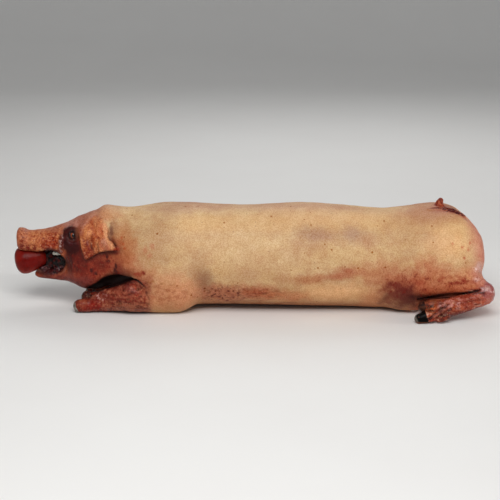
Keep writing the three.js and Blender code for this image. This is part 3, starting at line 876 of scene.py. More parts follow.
def relief(p):
    """How far the skin stands out from the field at each point."""
    rise = 0.8 * layers(p, 70, 2, 3) + 0.22 * noise(p, 15, 5)
    rise += head_relief(p) + ear_relief(p)
    feet = np.maximum(hind_foot_share(p), fore_foot_share(p))
    rise += feet * (0.8 * noise(p * (0.45, 1, 1), 8, 9) + 0.35 * noise(p, 4.5, 10))
    for fold in FOLDS:
        rise -= fold.depth * bell(near_path(p, fold.path), fold.width)
    ragged = ramp(path_distance(p, SLIT), 12, 3) * ramp(p[:, 0], 366, 380)
    rise += ragged * 1.4 * noise(p, 5, 16)
    rough = (p[:, 1] < 5) * ramp(p[:, 2], 190, 198) * ramp(p[:, 0], 380, 396)
    rise += rough * 0.9 * noise(p, 7, 17)
    belly = ramp(p[:, 2], 60, 35) * ramp(p[:, 0], -125, -95) * ramp(p[:, 0], 60, 20)
    return rise + belly * 0.6 * noise(p, 8, 18)


def make_skin():
    """The skin's points, quads and outward normals."""
    axes = [axis_lines(low, high, cell) for low, high, cell in zip(*SKIN_BOX, CELLS)]
    points, quads = surface(pig_on(axes).astype(np.float32), axes)
    on_table = points[:, 2] < ON_TABLE
    fixed = on_table | (apple_field(*points.T) < AT_APPLE)
    slope = gradient(pig_at, points)
    moved = points + step_to(pig_at, points, slope, MOST_MOVE)
    points = np.where(fixed[:, None], points, moved)
    normals = unit(slope)
    hold = ramp(points[:, 2], 0.2, 4) * ramp(apple_field(*points.T), 0.6, 4)
    points = points + normals * (relief(points) * hold)[:, None]
    points[:, 2] = np.where(on_table, 0, np.maximum(points[:, 2], CLEAR_OF_TABLE))
    return points, quads, normals


# ---------- colour ----------

PALE = (218, 185, 138)
CREAM = (229, 201, 156)
FAWN = (194, 150, 114)
MAUVE = (184, 136, 116)
OCHRE = (190, 134, 90)
RAW = (138, 46, 30)
AMBER = (174, 82, 44)
# Near black for painted shade deep in recesses.
PAINTED_SHADOW_BLACK = (24, 7, 6)


def linear(colour):
    """A colour of 0 to 255 a channel as light."""
    share = np.array(colour) / 255
    return np.where(share < 0.04045, share / 12.92, ((share + 0.055) / 1.055) ** 2.4)


class Paint:
    """Colour laid on the points one coat at a time, with how wet, raw, coarse and streaked it
    leaves them."""

    FINISHES = ("wet", "raw", "grain", "stain")

    def __init__(self, count, ground, wet=0.0):
        self.colour = np.tile(linear(ground), (count, 1))
        for name in self.FINISHES:
            setattr(self, name, np.zeros(count))
        self.wet += wet

    def lay(self, share, colour, wet=None, raw=None, grain=None):
        """Covers a share of each point, and leaves a finish as it is where none is given."""
        share = np.clip(share, 0, 1)
        self.colour += share[:, None] * (linear(colour) - self.colour)
        for name, value in (("wet", wet), ("raw", raw), ("grain", grain)):
            if value is not None:
                kept = getattr(self, name)
                kept += share * (value - kept)

    def streak(self, share):
        """Adds to the fine brown streaks, and leaves the colour."""
        self.stain = np.maximum(self.stain, np.clip(share, 0, 1))

    def soak(self, share, wet=1.0):
        """Wets the points and leaves their colour."""
        self.wet += np.clip(share, 0, 1) * (wet - self.wet)


def blot(p, size, level, seed, soft=0.25):
    """Uneven spots: 1 where layered noise is above a level."""
    return ramp(layers(p, size, 3, seed), level - soft, level + soft)


# Marks on the trunk: bruises and stains, with painted sheen and painted shade among them.
StainShadeAndSheen = namedtuple("StainShadeAndSheen", "at radii colour share rough streak")
TRUNK_STAINS_SHADE_AND_SHEEN = [
    StainShadeAndSheen((142, 90, 170), (84, 44, 19), (198, 162, 130), 0.5, 0.3, 0.2),  # a bruise high up
    StainShadeAndSheen((107, 92, 174), (22, 44, 13), (184, 150, 126), 0.5, 0.5, 0.4),
    StainShadeAndSheen((136, 92, 168), (22, 44, 10), (186, 146, 122), 0.6, 0.5, 0.4),
    StainShadeAndSheen((197, 92, 172), (22, 44, 14), (184, 150, 128), 0.6, 0.5, 0.4),
    StainShadeAndSheen((231, 96, 158), (20, 44, 12), (194, 146, 112), 0.6, 0.5, 0.3),
    # Painted sheen: a broad pale patch on the flank.
    StainShadeAndSheen((-40, 95, 155), (90, 50, 42), (230, 200, 158), 0.5, 0.25, 0.0),
    StainShadeAndSheen((-190, 100, 158), (34, 60, 52), (192, 156, 118), 0.55, 0.3, 0.0),
    # Painted shade: darker behind the ear.
    StainShadeAndSheen((-238, 98, 160), (22, 60, 28), (180, 142, 102), 0.4, 0.3, 0.1),
    # Painted sheen: pale cream on the ham.
    StainShadeAndSheen((388, 95, 152), (46, 50, 28), (248, 202, 150), 0.6, 0.25, 0.0),
    # Painted shade in the valley in front of the ham.
    StainShadeAndSheen((304, 85, 186), (48, 44, 24), (200, 156, 116), 0.6, 0.3, 0.0),
    StainShadeAndSheen((374, 30, 206), (56, 50, 14), (192, 126, 88), 0.6, 0.3, 0.3),
    StainShadeAndSheen((90, 60, 203), (70, 60, 13), (228, 190, 146), 0.6, 0.3, 0.0),
    StainShadeAndSheen((350, 60, 202), (64, 50, 13), (190, 138, 106), 0.6, 0.3, 0.2),
    # Painted shade in the valley behind the shoulder.
    StainShadeAndSheen((-114, 98, 100), (18, 44, 40), (188, 152, 118), 0.55, 0.3, 0.0),
    StainShadeAndSheen((176, 70, 196), (60, 50, 10), (226, 186, 142), 0.5, 0.3, 0.0),
    StainShadeAndSheen((250, 104, 88), (44, 44, 30), (200, 126, 92), 0.6, 0.4, 0.4),
    StainShadeAndSheen((105, 106, 80), (36, 40, 10), (186, 114, 74), 0.7, 0.5, 0.5),
    StainShadeAndSheen((160, 106, 88), (28, 40, 7), (188, 106, 74), 0.7, 0.5, 0.5),
    StainShadeAndSheen((188, 106, 100), (19, 40, 9), (178, 92, 64), 0.75, 0.5, 0.6),
    StainShadeAndSheen((214, 106, 96), (24, 40, 8), (196, 126, 90), 0.6, 0.5, 0.4),
    StainShadeAndSheen((4, 100, 50), (38, 40, 18), (188, 82, 46), 0.7, 0.5, 0.8),
    StainShadeAndSheen((66, 98, 40), (46, 40, 12), (212, 128, 84), 0.6, 0.5, 0.5),
    StainShadeAndSheen((165, 92, 50), (62, 40, 19), (252, 204, 152), 0.85, 0.15, 0.0),  # a pale belly
]

Spot = namedtuple("Spot", "at radii soft rough colour share wet raw", defaults=(None, None))
SHOULDER_SPOTS = [
    Spot((-240, 95, 92), (34, 60, 26), 0.8, 0.3, (192, 116, 80), 0.6),
    Spot((-276, 74, 94), (14, 40, 14), 0.8, 0.4, (116, 48, 34), 0.8, 0.3),
    Spot((-256, 88, 91), (22, 40, 9), 0.8, 0.4, (132, 66, 44), 0.7, 0.3),
    Spot((-268, 80, 162), (26, 60, 34), 0.6, 0.3, (190, 134, 88), 0.5),
    Spot((-182, 104, 66), (48, 60, 32), 0.8, 0.25, (222, 150, 112), 0.6),
    Spot((-140, 100, 48), (26, 60, 30), 0.7, 0.25, (236, 174, 134), 0.6),
    # Painted shade under the elbow.
    Spot((-176, 104, 32), (60, 60, 22), 0.8, 0.3, (196, 124, 86), 0.45),
    Spot((-228, 102, 76), (24, 60, 14), 0.8, 0.5, (164, 94, 64), 0.75, 0.2, 0.3),
]
GROIN_SPOTS = [
    Spot((306, 104, 72), (46, 60, 28), 0.9, 0.4, (178, 84, 56), 0.7, 0.2, 0.4),
    Spot((293, 100, 60), (24, 60, 16), 0.9, 0.6, (118, 28, 22), 0.85, 0.3, 0.4),
    Spot((308, 96, 40), (31, 80, 21), 0.7, 0.4, (94, 30, 25), 0.92, 0.3),
    Spot((244, 84, 34), (26, 60, 22), 0.8, 0.3, (214, 142, 100), 0.6),
    Spot((276, 90, 42), (22, 60, 26), 0.8, 0.4, (122, 54, 40), 0.7),
]


def lay_spots(paint, p, spots):
    """Lays one coat for each spot, in turn."""
    for spot in spots:
        inside = patch(p, spot.at, spot.radii, spot.soft, spot.rough)
        paint.lay(spot.share * inside, spot.colour, spot.wet, spot.raw)


def paint_trunk(paint, p):
    """The pale flank and back with their bruises, painted sheen, painted shade at the top, the bottom
    and in the valleys, and the torn and stained belly.
    """
    x, _, z = p.T
    paint.lay(0.7 * blot(p * (0.6, 1, 1), 90, 0.0, 21, 0.6), CREAM)
    paint.lay(0.4 * blot(p, 60, 0.15, 22, 0.5), FAWN)
    paint.lay(0.2 * blot(p * (0.5, 1, 1), 36, 0.3, 25, 0.4), MAUVE)
    paint.lay(0.4 * blot(p, 20, 0.3, 36, 0.4), (200, 152, 112))
    band = ramp(z, 168, 182) * ramp(z, 206, 196) * ramp(x, -190, -120)
    paint.lay(0.55 * band, (232, 192, 138))
    # Mauve along the top of the back and ochre low on the flank: painted shade where the light falls
    # off.
    paint.lay(0.55 * ramp(z, 203, 213), MAUVE)
    paint.lay(0.45 * ramp(z, 88, 40), OCHRE)
    # Stains, painted shade and painted sheen, from the list above.
    for i, stain in enumerate(TRUNK_STAINS_SHADE_AND_SHEEN):
        share = patch(p, stain.at, stain.radii, 0.8, stain.rough, 140 + i, 20)
        paint.lay(stain.share * share, stain.colour)
        paint.streak(stain.streak * share)
    # Painted shade under the belly, behind the elbow.
    paint.lay(0.6 * ramp(z, 30, 12) * ramp(x, -130, -100), (164, 94, 62))
    # Painted shade in the valley behind the elbow.
    paint.lay(0.75 * patch(p, (-103, 100, 74), (18, 30, 26), 0.7, 0.2), (150, 106, 80))
    paint.lay(0.45 * patch(p, (-76, 98, 48), (36, 30, 20), 0.7, 0.3), (186, 124, 98))
    spread = patch(p, (-62, 84, 42), (50, 44, 24), 0.6, 0.3)
    paint.lay(0.5 * spread, (194, 110, 84))
    paint.lay(0.95 * blot(p, 6.5, 0.32, 23, 0.08) * spread, (96, 28, 26))
    paint.lay(0.5 * blot(p, 11, 0.25, 35, 0.2) * spread, (140, 70, 58))
    torn = patch(p, (4, 100, 46), (44, 40, 16), 0.7, 0.4)
    paint.lay(0.6 * torn * blot(p * (0.6, 1, 1.5), 8, 0.15, 105, 0.12), (120, 50, 32))
    ragged = blot(p * (0.4, 1, 1), 9, 0.1, 48, 0.15) * ramp(z, 34, 18)
    paint.lay(0.6 * ragged * ramp(x, -110, -80) * ramp(x, 110, 60), (128, 66, 44))
    paint.streak(0.5 * spread)


def paint_shoulder(paint, p):
    """The reddened skin from the back of the cheek to the elbow, with painted shade under the elbow."""
    neck = patch(p, (-286, 80, 120), (40, 60, 50), 0.8, 0.25)
    paint.lay(0.9 * neck, (184, 102, 64), 0.2, 0.3)
    paint.streak(0.35 * neck)
    side = patch(p, (-262, 88, 126), (20, 60, 36), 0.9, 0.3)
    paint.lay(0.7 * side, (198, 118, 78), 0.2)
    paint.lay(0.45 * neck * blot(p, 16, 0.15, 37), (166, 82, 50), 0.2)
    lay_spots(paint, p, SHOULDER_SPOTS)
    freckles = patch(p, (-178, 104, 50), (50, 60, 26), 0.7)
    paint.lay(0.5 * freckles * blot(p, 9, 0.2, 26, 0.15), (170, 92, 56))
    paint.streak(0.3 * freckles)
    for at, radii in (((-226, 108, 96), (7, 20, 4)), ((-238, 104, 92), (9, 20, 4))):
        paint.lay(0.8 * patch(p, at, radii, 0.7, 0.5, 27, 6), (158, 54, 30), 0.3, 0.5)
    for at in ((-266, 84, 150), (-270, 84, 161), (-264, 90, 142)):
        paint.lay(0.8 * patch(p, at, (2.8, 20, 2.8), 0.5, 0.3, 28, 5), (184, 84, 44))
    for at in ((-213, 108, 76), (-206, 108, 79), (-188, 108, 74)):
        paint.lay(0.6 * patch(p, at, (3, 20, 2.2), 0.5, 0.4, 29, 5), (170, 108, 50))
    for at in ((-220, 104, 142), (-206, 104, 150), (-212, 104, 133)):
        paint.lay(0.5 * patch(p, at, (5, 20, 7), 0.6, 0.6, 34, 7), (196, 112, 82), None, 0.3)


def paint_ham(paint, p):
    """The reddened ham, the dark groin in front of it and the pink edge of the rump."""
    x, _, z = p.T
    line = z + 14 * layers(p, 30, 3, 30)
    rear = ramp(x, 296, 350) * ramp(x, 476, 440)
    paint.lay(0.8 * rear * ramp(line, 136, 88), (208, 138, 98))
    paint.lay(0.8 * rear * ramp(line, 100, 50), (192, 92, 58), 0.2, 0.35)
    paint.streak(0.7 * rear * ramp(line, 128, 70))
    paint.lay(0.6 * patch(p, (350, 118, 112), (26, 40, 16), 0.8, 0.5, 38), (196, 112, 78), None, 0.3)
    band = patch(p, (390, 110, 74), (84, 70, 24), 0.6, 0.3)
    dabs = blot(p * (0.7, 1, 1), 13, 0.12, 31, 0.2)
    paint.lay(0.65 * dabs * band, (168, 66, 38), 0.3, 0.5)
    for at, radii in (((404, 118, 78), (15, 40, 4)), ((422, 118, 82), (9, 40, 3))):
        paint.lay(0.75 * patch(p, at, radii, 0.6, 0.6, 33, 8), (140, 36, 18), 0.3, 0.6)
    lay_spots(paint, p, GROIN_SPOTS)
    paint.streak(0.7 * patch(p, (300, 104, 66), (44, 60, 30), 0.9, 0.4))
    edge = ramp(x + 0.22 * (z - 120), 430, 468) * (1 - 0.4 * ramp(x, 462, 474))
    paint.lay(0.85 * edge, (216, 142, 122), 0.35)
    paint.lay(0.5 * edge * blot(p, 16, 0.15, 32, 0.2), (204, 104, 82), 0.4, 0.35)
    paint.streak(0.3 * edge)
    for at in ((415, 100, 150), (428, 90, 143), (432, 90, 155), (396, 104, 158), (420, 108, 128)):
        paint.lay(0.7 * patch(p, at, (2.4, 40, 3), 0.7, 0.7, 39, 5), (204, 92, 54), None, 0.4)


def paint_slit(paint, p):
    """The cut beside the tail, its raw lips and the tail's stub."""
    x, y, z = p.T
    away = path_distance(p, SLIT)
    near = (y < 6) * ramp(z, 176, 188)
    lip = near * ramp(away, 30, 8) * ramp(x, 352, 380)
    paint.lay(0.75 * lip, (172, 96, 78), 0.4)
    above = patch(p, (402, 0, 208), (30, 26, 14), 0.6)
    paint.lay(0.7 * above, (174, 104, 74), 0.5, 0.3)
    paint.lay(0.8 * above * blot(p, 7, 0.1, 41, 0.15), (112, 46, 30), 0.8)
    ragged = away + 4.4 * ramp(x, 366, 384) * layers(p, 6, 2, 45)
    wide = ramp(x, 376, 390) * ramp(x, 432, 418)
    ragged = ragged - 4 * ramp(x, 374, 388) - 4.5 * wide
    start = 4 * ramp(x, 376, 352)
    paint.lay(ramp(ragged + start, 6.4, 4.6), (116, 30, 22), 0.6)
    deep = ramp(ragged, 5.6, 3.8) * ramp(x, 368, 376)
    paint.lay(deep, (84, 16, 18), 0.8)
    paint.lay(0.8 * deep * blot(p, 5, 0.2, 43, 0.15), (36, 9, 18), 0.8)
    paint.lay(0.8 * deep * blot(p, 5, 0.25, 47, 0.12), (196, 112, 84), 0.95)
    orange = patch(p, (427, 18, 190), (15, 16, 12), 0.5, 0.4)
    paint.lay(0.8 * orange * blot(p, 6, 0.0, 46, 0.2), (206, 116, 84), 0.9)
    stub = ramp(length(x - 382, y, (z - 216) * 0.5), 16, 11)
    paint.lay(0.9 * stub, (182, 88, 54), 0.3, 0.5)
    stripes = blot(p * (1.6, 1.6, 0.4), 7, 0.05, 44, 0.15)
    paint.lay(0.85 * stub * stripes, (104, 24, 18), 0.4)


def paint_snout(paint, p):
    """The coarse snout, its wet sores with painted glints, and the dark line under the lip, partly
    painted shade.
    """
    x, y, z = p.T
    out = np.abs(y)
    share = ramp(x, -385, -408)
    paint.lay(share, AMBER, 0.35, 0.25, 0.9)
    paint.lay(0.85 * share * ramp(x, -420, -446), (208, 128, 82), 0.3, 0.1, 0.9)
    paint.lay(0.8 * share * blot(p, 6, 0.1, 52, 0.25), (222, 152, 102), None, None, 0.4)
    paint.lay(0.5 * share * blot(p, 7, 0.3, 56, 0.15), (150, 62, 38))
    paint.lay(0.6 * share * ramp(x, -460, -478), (186, 112, 82), 0.4, 0.1, 0.9)
    paint.lay(0.6 * share * ramp(z, 154, 166), (188, 124, 100), 0.35)
    lip = ramp(z, 142, 126) * ramp(z, 108, 116) * share
    paint.lay(0.6 * lip * blot(p, 10, 0.1, 53, 0.2), RAW, 0.7, 0.8, 0.6)
    wet = patch(p, (-423, 36, 138), (17, 14, 13), 0.6, 0.4)
    paint.lay(0.75 * wet, (172, 68, 38), 0.9, 0.8, 0.7)
    for at, radii in (
        ((-479, 20, 134), (4.5, 14, 12)),
        ((-467, 24, 128), (5, 14, 8)),
        ((-456, 26, 130), (4, 14, 4)),
        ((-413, 36, 143), (6, 14, 10)),
        ((-428, 34, 133), (10, 14, 5)),
    ):
        sore = patch(p, at, radii, 0.5, 0.9, 54, 7)
        sore = sore * blot(p, 4.5, -0.05, 57, 0.2)
        paint.lay(0.95 * sore, (124, 24, 10), 0.95, 0.9)
    # Pale pink flecks on the wet sore: painted glints.
    painted_glints = patch(p, (-424, 36, 139), (16, 14, 11), 0.5, 0.4)
    paint.lay(0.75 * painted_glints * blot(p, 5, 0.25, 55, 0.1), (220, 140, 116), 1.0)
    # The lip's dark wet inner side, and painted shade under the upper lip.
    under = ramp(z, 121, 115) * ramp(x, -398, -408) * ramp(out, 60, 44) * ramp(z, 90, 100)
    paint.lay(0.9 * under, (54, 14, 12), 0.8, 0.0, 0.0)
    wet_lip = patch(p, (-408, 36, 123), (28, 14, 6), 0.4, 0.4)
    paint.lay(0.9 * wet_lip, (66, 16, 12), 0.8, 0.0, 0.0)


def paint_head(paint, p, n):
    """The face and the duller crown."""
    x, _, z = p.T
    face = ramp(x + 0.15 * (z - 140), -306, -340)
    paint.lay(face, (178, 98, 62), 0.3, 0.15, 0.3)
    crown = ramp(n[:, 2] + 0.15 * noise(p, 20, 50), 0.2, 0.6) * ramp(x, -300, -330)
    paint.lay(0.85 * crown, (196, 142, 130), 0.3, 0.1, 0.2)
    paint.lay(0.5 * crown * blot(p, 12, 0.3, 51, 0.15), (142, 66, 54))
    paint.streak(0.2 * crown)
    paint_snout(paint, p)


# The dark scabs on the jowl: their middle and radii.
JOWL_MARKS = [
    ((-333.5, 68, 90), (3.6, 12, 6)),
    ((-325.5, 68, 84), (3.4, 12, 4)),
    ((-301, 70, 119), (3.2, 12, 5)),
    ((-299, 70, 111), (4, 12, 3.6)),
    ((-283, 77, 102), (2.6, 14, 7)),
    ((-284.5, 72, 91), (4.6, 14, 7)),
    ((-287, 72, 84), (5, 14, 3)),
]


def paint_cheeks(paint, p):
    """The dark red jowl and cheek, the throat, and the place round the eye, with painted glints on the
    wet ridge in front of it.
    """
    x, _, z = p.T
    jowl = patch(p, (-334, 60, 98), (50, 60, 50), 0.8, 0.25)
    paint.lay(0.95 * jowl, (152, 52, 33), 0.3, 0.35, 0.15)
    paint.lay(0.6 * jowl * blot(p, 18, 0.1, 61), (172, 76, 52))
    paint.lay(0.4 * jowl * blot(p, 7, 0.3, 49, 0.12), (98, 28, 18), 0.5)
    paint.streak(0.6 * jowl)
    paint.lay(0.75 * patch(p, (-316, 68, 104), (13, 30, 12), 0.8, 0.4), (96, 22, 12), 0.3)
    cheek = patch(p, (-362, 56, 112), (22, 40, 30), 0.45, 0.2)
    paint.lay(0.92 * cheek, (94, 20, 12), 0.4, 0.35, 0.1)
    paint.lay(0.7 * cheek * blot(p * (1.6, 1, 0.6), 10, 0.2, 64, 0.15), (126, 46, 32), 0.4)
    paint.lay(0.5 * cheek * blot(p, 6, 0.3, 69, 0.12), (56, 12, 9), 0.6)
    paint.lay(0.8 * patch(p, (-382, 50, 104), (9, 30, 26), 0.5, 0.2), (70, 18, 15), 0.5)
    throat = ramp(z, 84, 66) * ramp(x, -322, -340) * ramp(x, -470, -440)
    paint.lay(0.85 * throat, (126, 54, 50), 0.4, 0.2, 0.0)
    paint.lay(0.6 * throat * blot(p, 9, 0.1, 68, 0.2), (86, 30, 27), 0.4)
    paint.lay(0.8 * patch(p, (-283, 80, 130), (9, 20, 4), 0.6, 0.4, 66, 6), (140, 42, 22), 0.4)
    for at, radii in JOWL_MARKS:
        mark = patch(p, at, radii, 0.45, 0.7, 62, 5)
        paint.lay(0.9 * mark, (58, 15, 15), 0.4)
    egg = patch(p, (-376, 44, 149), (21, 60, 26.5), 0.15, 0.16)
    paint.lay(egg, (56, 9, 8), 0.4, 0.0, 0.0)
    paint.lay(0.6 * egg * blot(p, 7, 0.2, 63, 0.15), (84, 24, 18))
    side = patch(p, (-357, 52, 134), (10, 40, 32), 0.45, 0.2)
    paint.lay(0.85 * side, (98, 25, 17), 0.4, 0.3)
    low = patch(p, (-374, 50, 133), (17, 30, 14), 0.5, 0.2)
    paint.lay(0.9 * low, (54, 6, 4), 0.3)
    ring = eye_distance(p)
    paint.lay(0.85 * ramp(ring, 13, 9), (24, 6, 6), 0.7)
    paint.lay(0.7 * patch(p, (-376, 44, 142), (5, 20, 5), 0.5, 0.3), (74, 14, 18), 0.7)
    wet = patch(p, (-397.5, 41, 141), (5, 20, 18), 0.4)
    paint.lay(0.9 * wet, (88, 28, 23), 1.0)
    # Near-white dots along the wet ridge: painted glints.
    paint.lay(0.7 * wet * blot(p, 3.6, 0.3, 67, 0.12), (226, 196, 192), 1.0)


def paint_ears(paint, p):
    """The ears' orange flaps, with veins, dark lines along their folds that are partly painted shade, a
    painted highlight along their back edge, a painted shadow under their edge and painted shade in the
    notch behind their root.
    """
    x, _, z = p.T
    melt = ear_melt(x, z)
    ears = ear_share(p)
    front = ear_front(p) * (1 - ears)
    paint.lay(0.6 * front * ramp(z, 140, 166), (160, 90, 60), 0.3, 0.3)
    crest = patch(p, (-316, 40, 198), (32, 40, 14), 0.8, 0.2)
    paint.lay(0.75 * crest * (1 - 0.5 * ears), (204, 140, 100), 0.3, 0.3)
    edge = ear_edge(x, z)
    above = ear_top(x, z)
    soft = ramp(edge, 3, -13) * (p[:, 2] > 100) * ramp(np.abs(p[:, 1]), 14, 30)
    ground = above * soft + (1 - above) * ears
    paint.lay(ground, (204, 120, 72), 0.4, 0.3, 0.6)
    paint.lay(0.8 * ground * blot(p, 16, 0.0, 71, 0.25), (236, 164, 106), 0.4, 0.2)
    paint.lay(0.7 * ground * patch(p, (-322, 0, 182), (15, FAR, 10), 0.8, 0.4), (218, 150, 104))
    paint.lay(0.5 * ears * patch(p, (-312, 0, 172), (10, FAR, 14), 0.8, 0.4), (200, 98, 60), 0.5)
    valley = path_distance(p * FLAT, EAR_VALLEY)
    paint.lay(0.6 * ears * ramp(valley + 2 * noise(p, 8, 74), 8, 1), (176, 72, 38), 0.5, 0.6)
    lobe = ears * patch(p, (-340, 0, 134), (15, FAR, 22), 0.7, 0.3)
    paint.lay(0.8 * lobe, (158, 68, 40), 0.5, 0.9)
    stripes = blot(p * (1.4, 1, 0.5), 8, 0.1, 72, 0.15)
    paint.lay(0.9 * lobe * stripes, (128, 36, 18), 0.8)
    paint.lay(0.6 * ears * patch(p, (-345, 0, 124), (4, FAR, 6), 0.6, 0.5), (206, 124, 92), 0.7)
    low = ramp(edge, -7, 0) * ears * ramp(z, 134, 124) * ramp(x, -310, -325)
    paint.lay(0.7 * low, (116, 44, 28), 0.6, 0.5)
    paint.lay(0.8 * ears * patch(p, *EAR_CUSHION, 0.7, 0.2), (202, 128, 100), 0.5, 0.3)
    paint.lay(0.6 * ears * patch(p, (-305, 0, 152), (6, FAR, 5), 0.6, 0.5, 77, 6), (226, 172, 148), 0.6)
    # A pale rim along the ears' back edge: painted highlight.
    back = path_distance(p * FLAT, [(-306, 0, 182), (-303, 0, 168), (-296, 0, 155), (-288, 0, 144)])
    paint.lay(0.8 * ears * ramp(back + noise(p, 7, 78), 7, 2), (236, 176, 128), 0.4, 0.0)
    # Red-brown lines along the ears' folds: red streaks, and painted shade in the folds.
    for line in EAR_LINES:
        away = path_distance(p * FLAT, line) + 1.6 * noise(p, 6, 75)
        paint.lay(0.6 * ears * ramp(away, 4.5, 0.5), (120, 44, 28), 0.5)
    rim = ears * (1 - melt) * ramp(edge, -4, -1) * blot(p, 7, 0.0, 73) * ramp(z, 175, 150)
    paint.lay(0.6 * rim, (134, 48, 30))
    # Painted shadow under the ears' lower edge, and painted shade in front of their lower front edge.
    under = ramp(edge, 7, 2) * (1 - ears) * ramp(z, 152, 143) * ramp(x, -350, -330)
    paint.lay(0.95 * under * ramp(x, -268, -275), (56, 16, 11), 0.4)
    under = ramp(edge, 16, 4) * (1 - ears) * ramp(z, 148, 138) * ramp(x, -350, -330)
    paint.lay(0.6 * under * ramp(x, -268, -280), (92, 32, 22), 0.4)
    shade = ramp(edge, 6, 0) * (1 - ears) * (1 - above) * ramp(x, -340, -350) * ramp(z, 175, 160)
    paint.lay(0.7 * shade, (96, 40, 26), 0.4)
    tip = patch(p, (-281, 86, 139), (6, 20, 4), 0.5, 0.2)
    paint.lay(0.8 * tip, (156, 48, 26), 0.5)
    # Brown skin and painted shade in the notch behind the ear's root.
    notch = patch(p, (-292, 68, 174), (4.5, 26, 14), 0.6, 0.5, 76, 8)
    paint.lay(0.85 * notch * (1 - 0.6 * ears), (104, 50, 36), 0.3, 0.3)
    paint.lay(0.45 * patch(p, (-286, 68, 182), (7, 26, 17), 0.8), (158, 116, 84))
    behind = patch(p, (-276, 84, 150), (6, 20, 12), 0.8, 0.4)
    paint.lay(0.5 * behind * (1 - ears), (176, 84, 50), None, 0.3)


def paint_mouth(paint, p):
    """The wet mouth, with painted glints on its lower lumps, and the tip of the tongue."""
    mouth = mouth_share(p)
    paint.lay(mouth, (12, 3, 3), 0.7, 0.0, 0.0)
    paint.lay(0.6 * mouth * blot(p, 8, 0.2, 81, 0.15), (84, 18, 14), 0.9)
    low = mouth * ramp(p[:, 2], 92, 80)
    paint.lay(0.7 * low * blot(p, 7, 0.1, 82, 0.15), (78, 22, 28), 0.95)
    # Pale pink dots on the lower lumps: painted glints.
    paint.lay(0.6 * low * blot(p, 4.5, 0.38, 83, 0.08), (170, 116, 124), 1.0)
    tip = patch(p, (-452, 0, 65), (9, 30, 6), 0.5, 0.3)
    paint.lay(0.85 * tip, (150, 62, 38), 0.6, 0.6)
    rim = patch(p, (-438, 0, 74), (26, 40, 9), 0.5, 0.3)
    paint.lay(0.8 * rim, (66, 20, 20), 0.9)


def paint_fore_feet(paint, p, n):
    """The browned forearms and fore trotters, with painted glints on the wet wrist."""
    x, _, z = p.T
    fore = fore_foot_share(p)
    paint.lay(fore, (138, 58, 41), 0.45, 0.4, 0.35)
    paint.lay(0.85 * fore * ramp(n[:, 2], 0.25, 0.8), (104, 36, 26), 0.5)
    pink = patch(p, (-272, 90, 48), (22, 40, 11), 0.8, 0.5)
    paint.lay(0.75 * fore * pink, (168, 92, 70), 0.5, 0.1)
    paint.lay(0.8 * fore * patch(p, (-262, 80, 62), (18, 40, 9), 0.8, 0.4), (112, 42, 30), 0.4)
    back = patch(p, (-224, 100, 42), (22, 40, 24), 0.9, 0.4)
    paint.lay(0.85 * fore * back, (184, 114, 84), 0.3, 0.4)
    paint.lay(0.5 * patch(p, (-224, 102, 48), (15, 40, 26), 0.9, 0.6), (176, 102, 72), 0.2)
    red = patch(p, (-243, 98, 56), (11, 40, 13), 0.7, 0.6)
    paint.lay(0.85 * fore * red * blot(p, 6, -0.1, 92, 0.15), (160, 46, 22), 0.6, 0.8)
    paint.lay(0.75 * fore * ramp(z, 34, 26) * ramp(x, -300, -280), (186, 120, 88), 0.4, 0.2)
    paint.lay(0.65 * fore * blot(p * (0.5, 1, 1), 12, 0.15, 84, 0.2), (110, 32, 20), 0.7, 0.6)
    paint.lay(0.6 * fore * blot(p * (0.6, 1, 1), 8, 0.3, 88, 0.12), (190, 116, 92), 0.9)
    paint.streak(0.8 * fore)
    paint.lay(0.5 * fore * blot(p * (0.6, 1, 1), 7, 0.35, 104, 0.1), (60, 16, 12), 0.9)
    wrist = patch(p, (-318, 78, 36), (16, 40, 10), 0.6, 0.4)
    paint.lay(0.5 * fore * wrist, (150, 84, 70), 1.0)
    # Pale pink dots on the wet wrist: painted glints.
    paint.lay(0.8 * fore * wrist * blot(p * (0.6, 1, 1), 5, 0.35, 93, 0.1), (216, 170, 164), 1.0)
    ball = patch(p, (-330, 82, 17), (26, 40, 9), 0.6, 0.5)
    paint.lay(0.9 * fore * ball, (146, 32, 20), 0.9, 0.5)
    paint.lay(0.8 * fore * patch(p, (-306, 84, 20), (9, 40, 8), 0.6, 0.5), (196, 124, 94), 0.9)
    paint.lay(0.75 * fore * patch(p, (-352, 74, 24), (10, 40, 9), 0.6, 0.4), (172, 88, 62), 0.7)
    seam = [(-300, 84, 30), (-285, 88, 31), (-268, 94, 33), (-258, 96, 34)]
    away = near_path(p, seam) + 2 * noise(p, 6, 94)
    paint.lay(0.7 * fore * ramp(away, 3, 0.5), (74, 22, 20), 0.6)
    paint.lay(0.85 * fore * ramp(z, 7, 3), (90, 30, 22), 0.7)
    inner = fore * ramp(x, -318, -326) * patch(p, (-340, 50, 32), (24, 16, 14), 0.5)
    paint.lay(0.85 * inner, (62, 26, 24), 0.7)
    paint.lay(0.8 * inner * blot(p * (0.4, 1, 1.6), 7, 0.0, 98, 0.15), (26, 9, 10), 0.7)


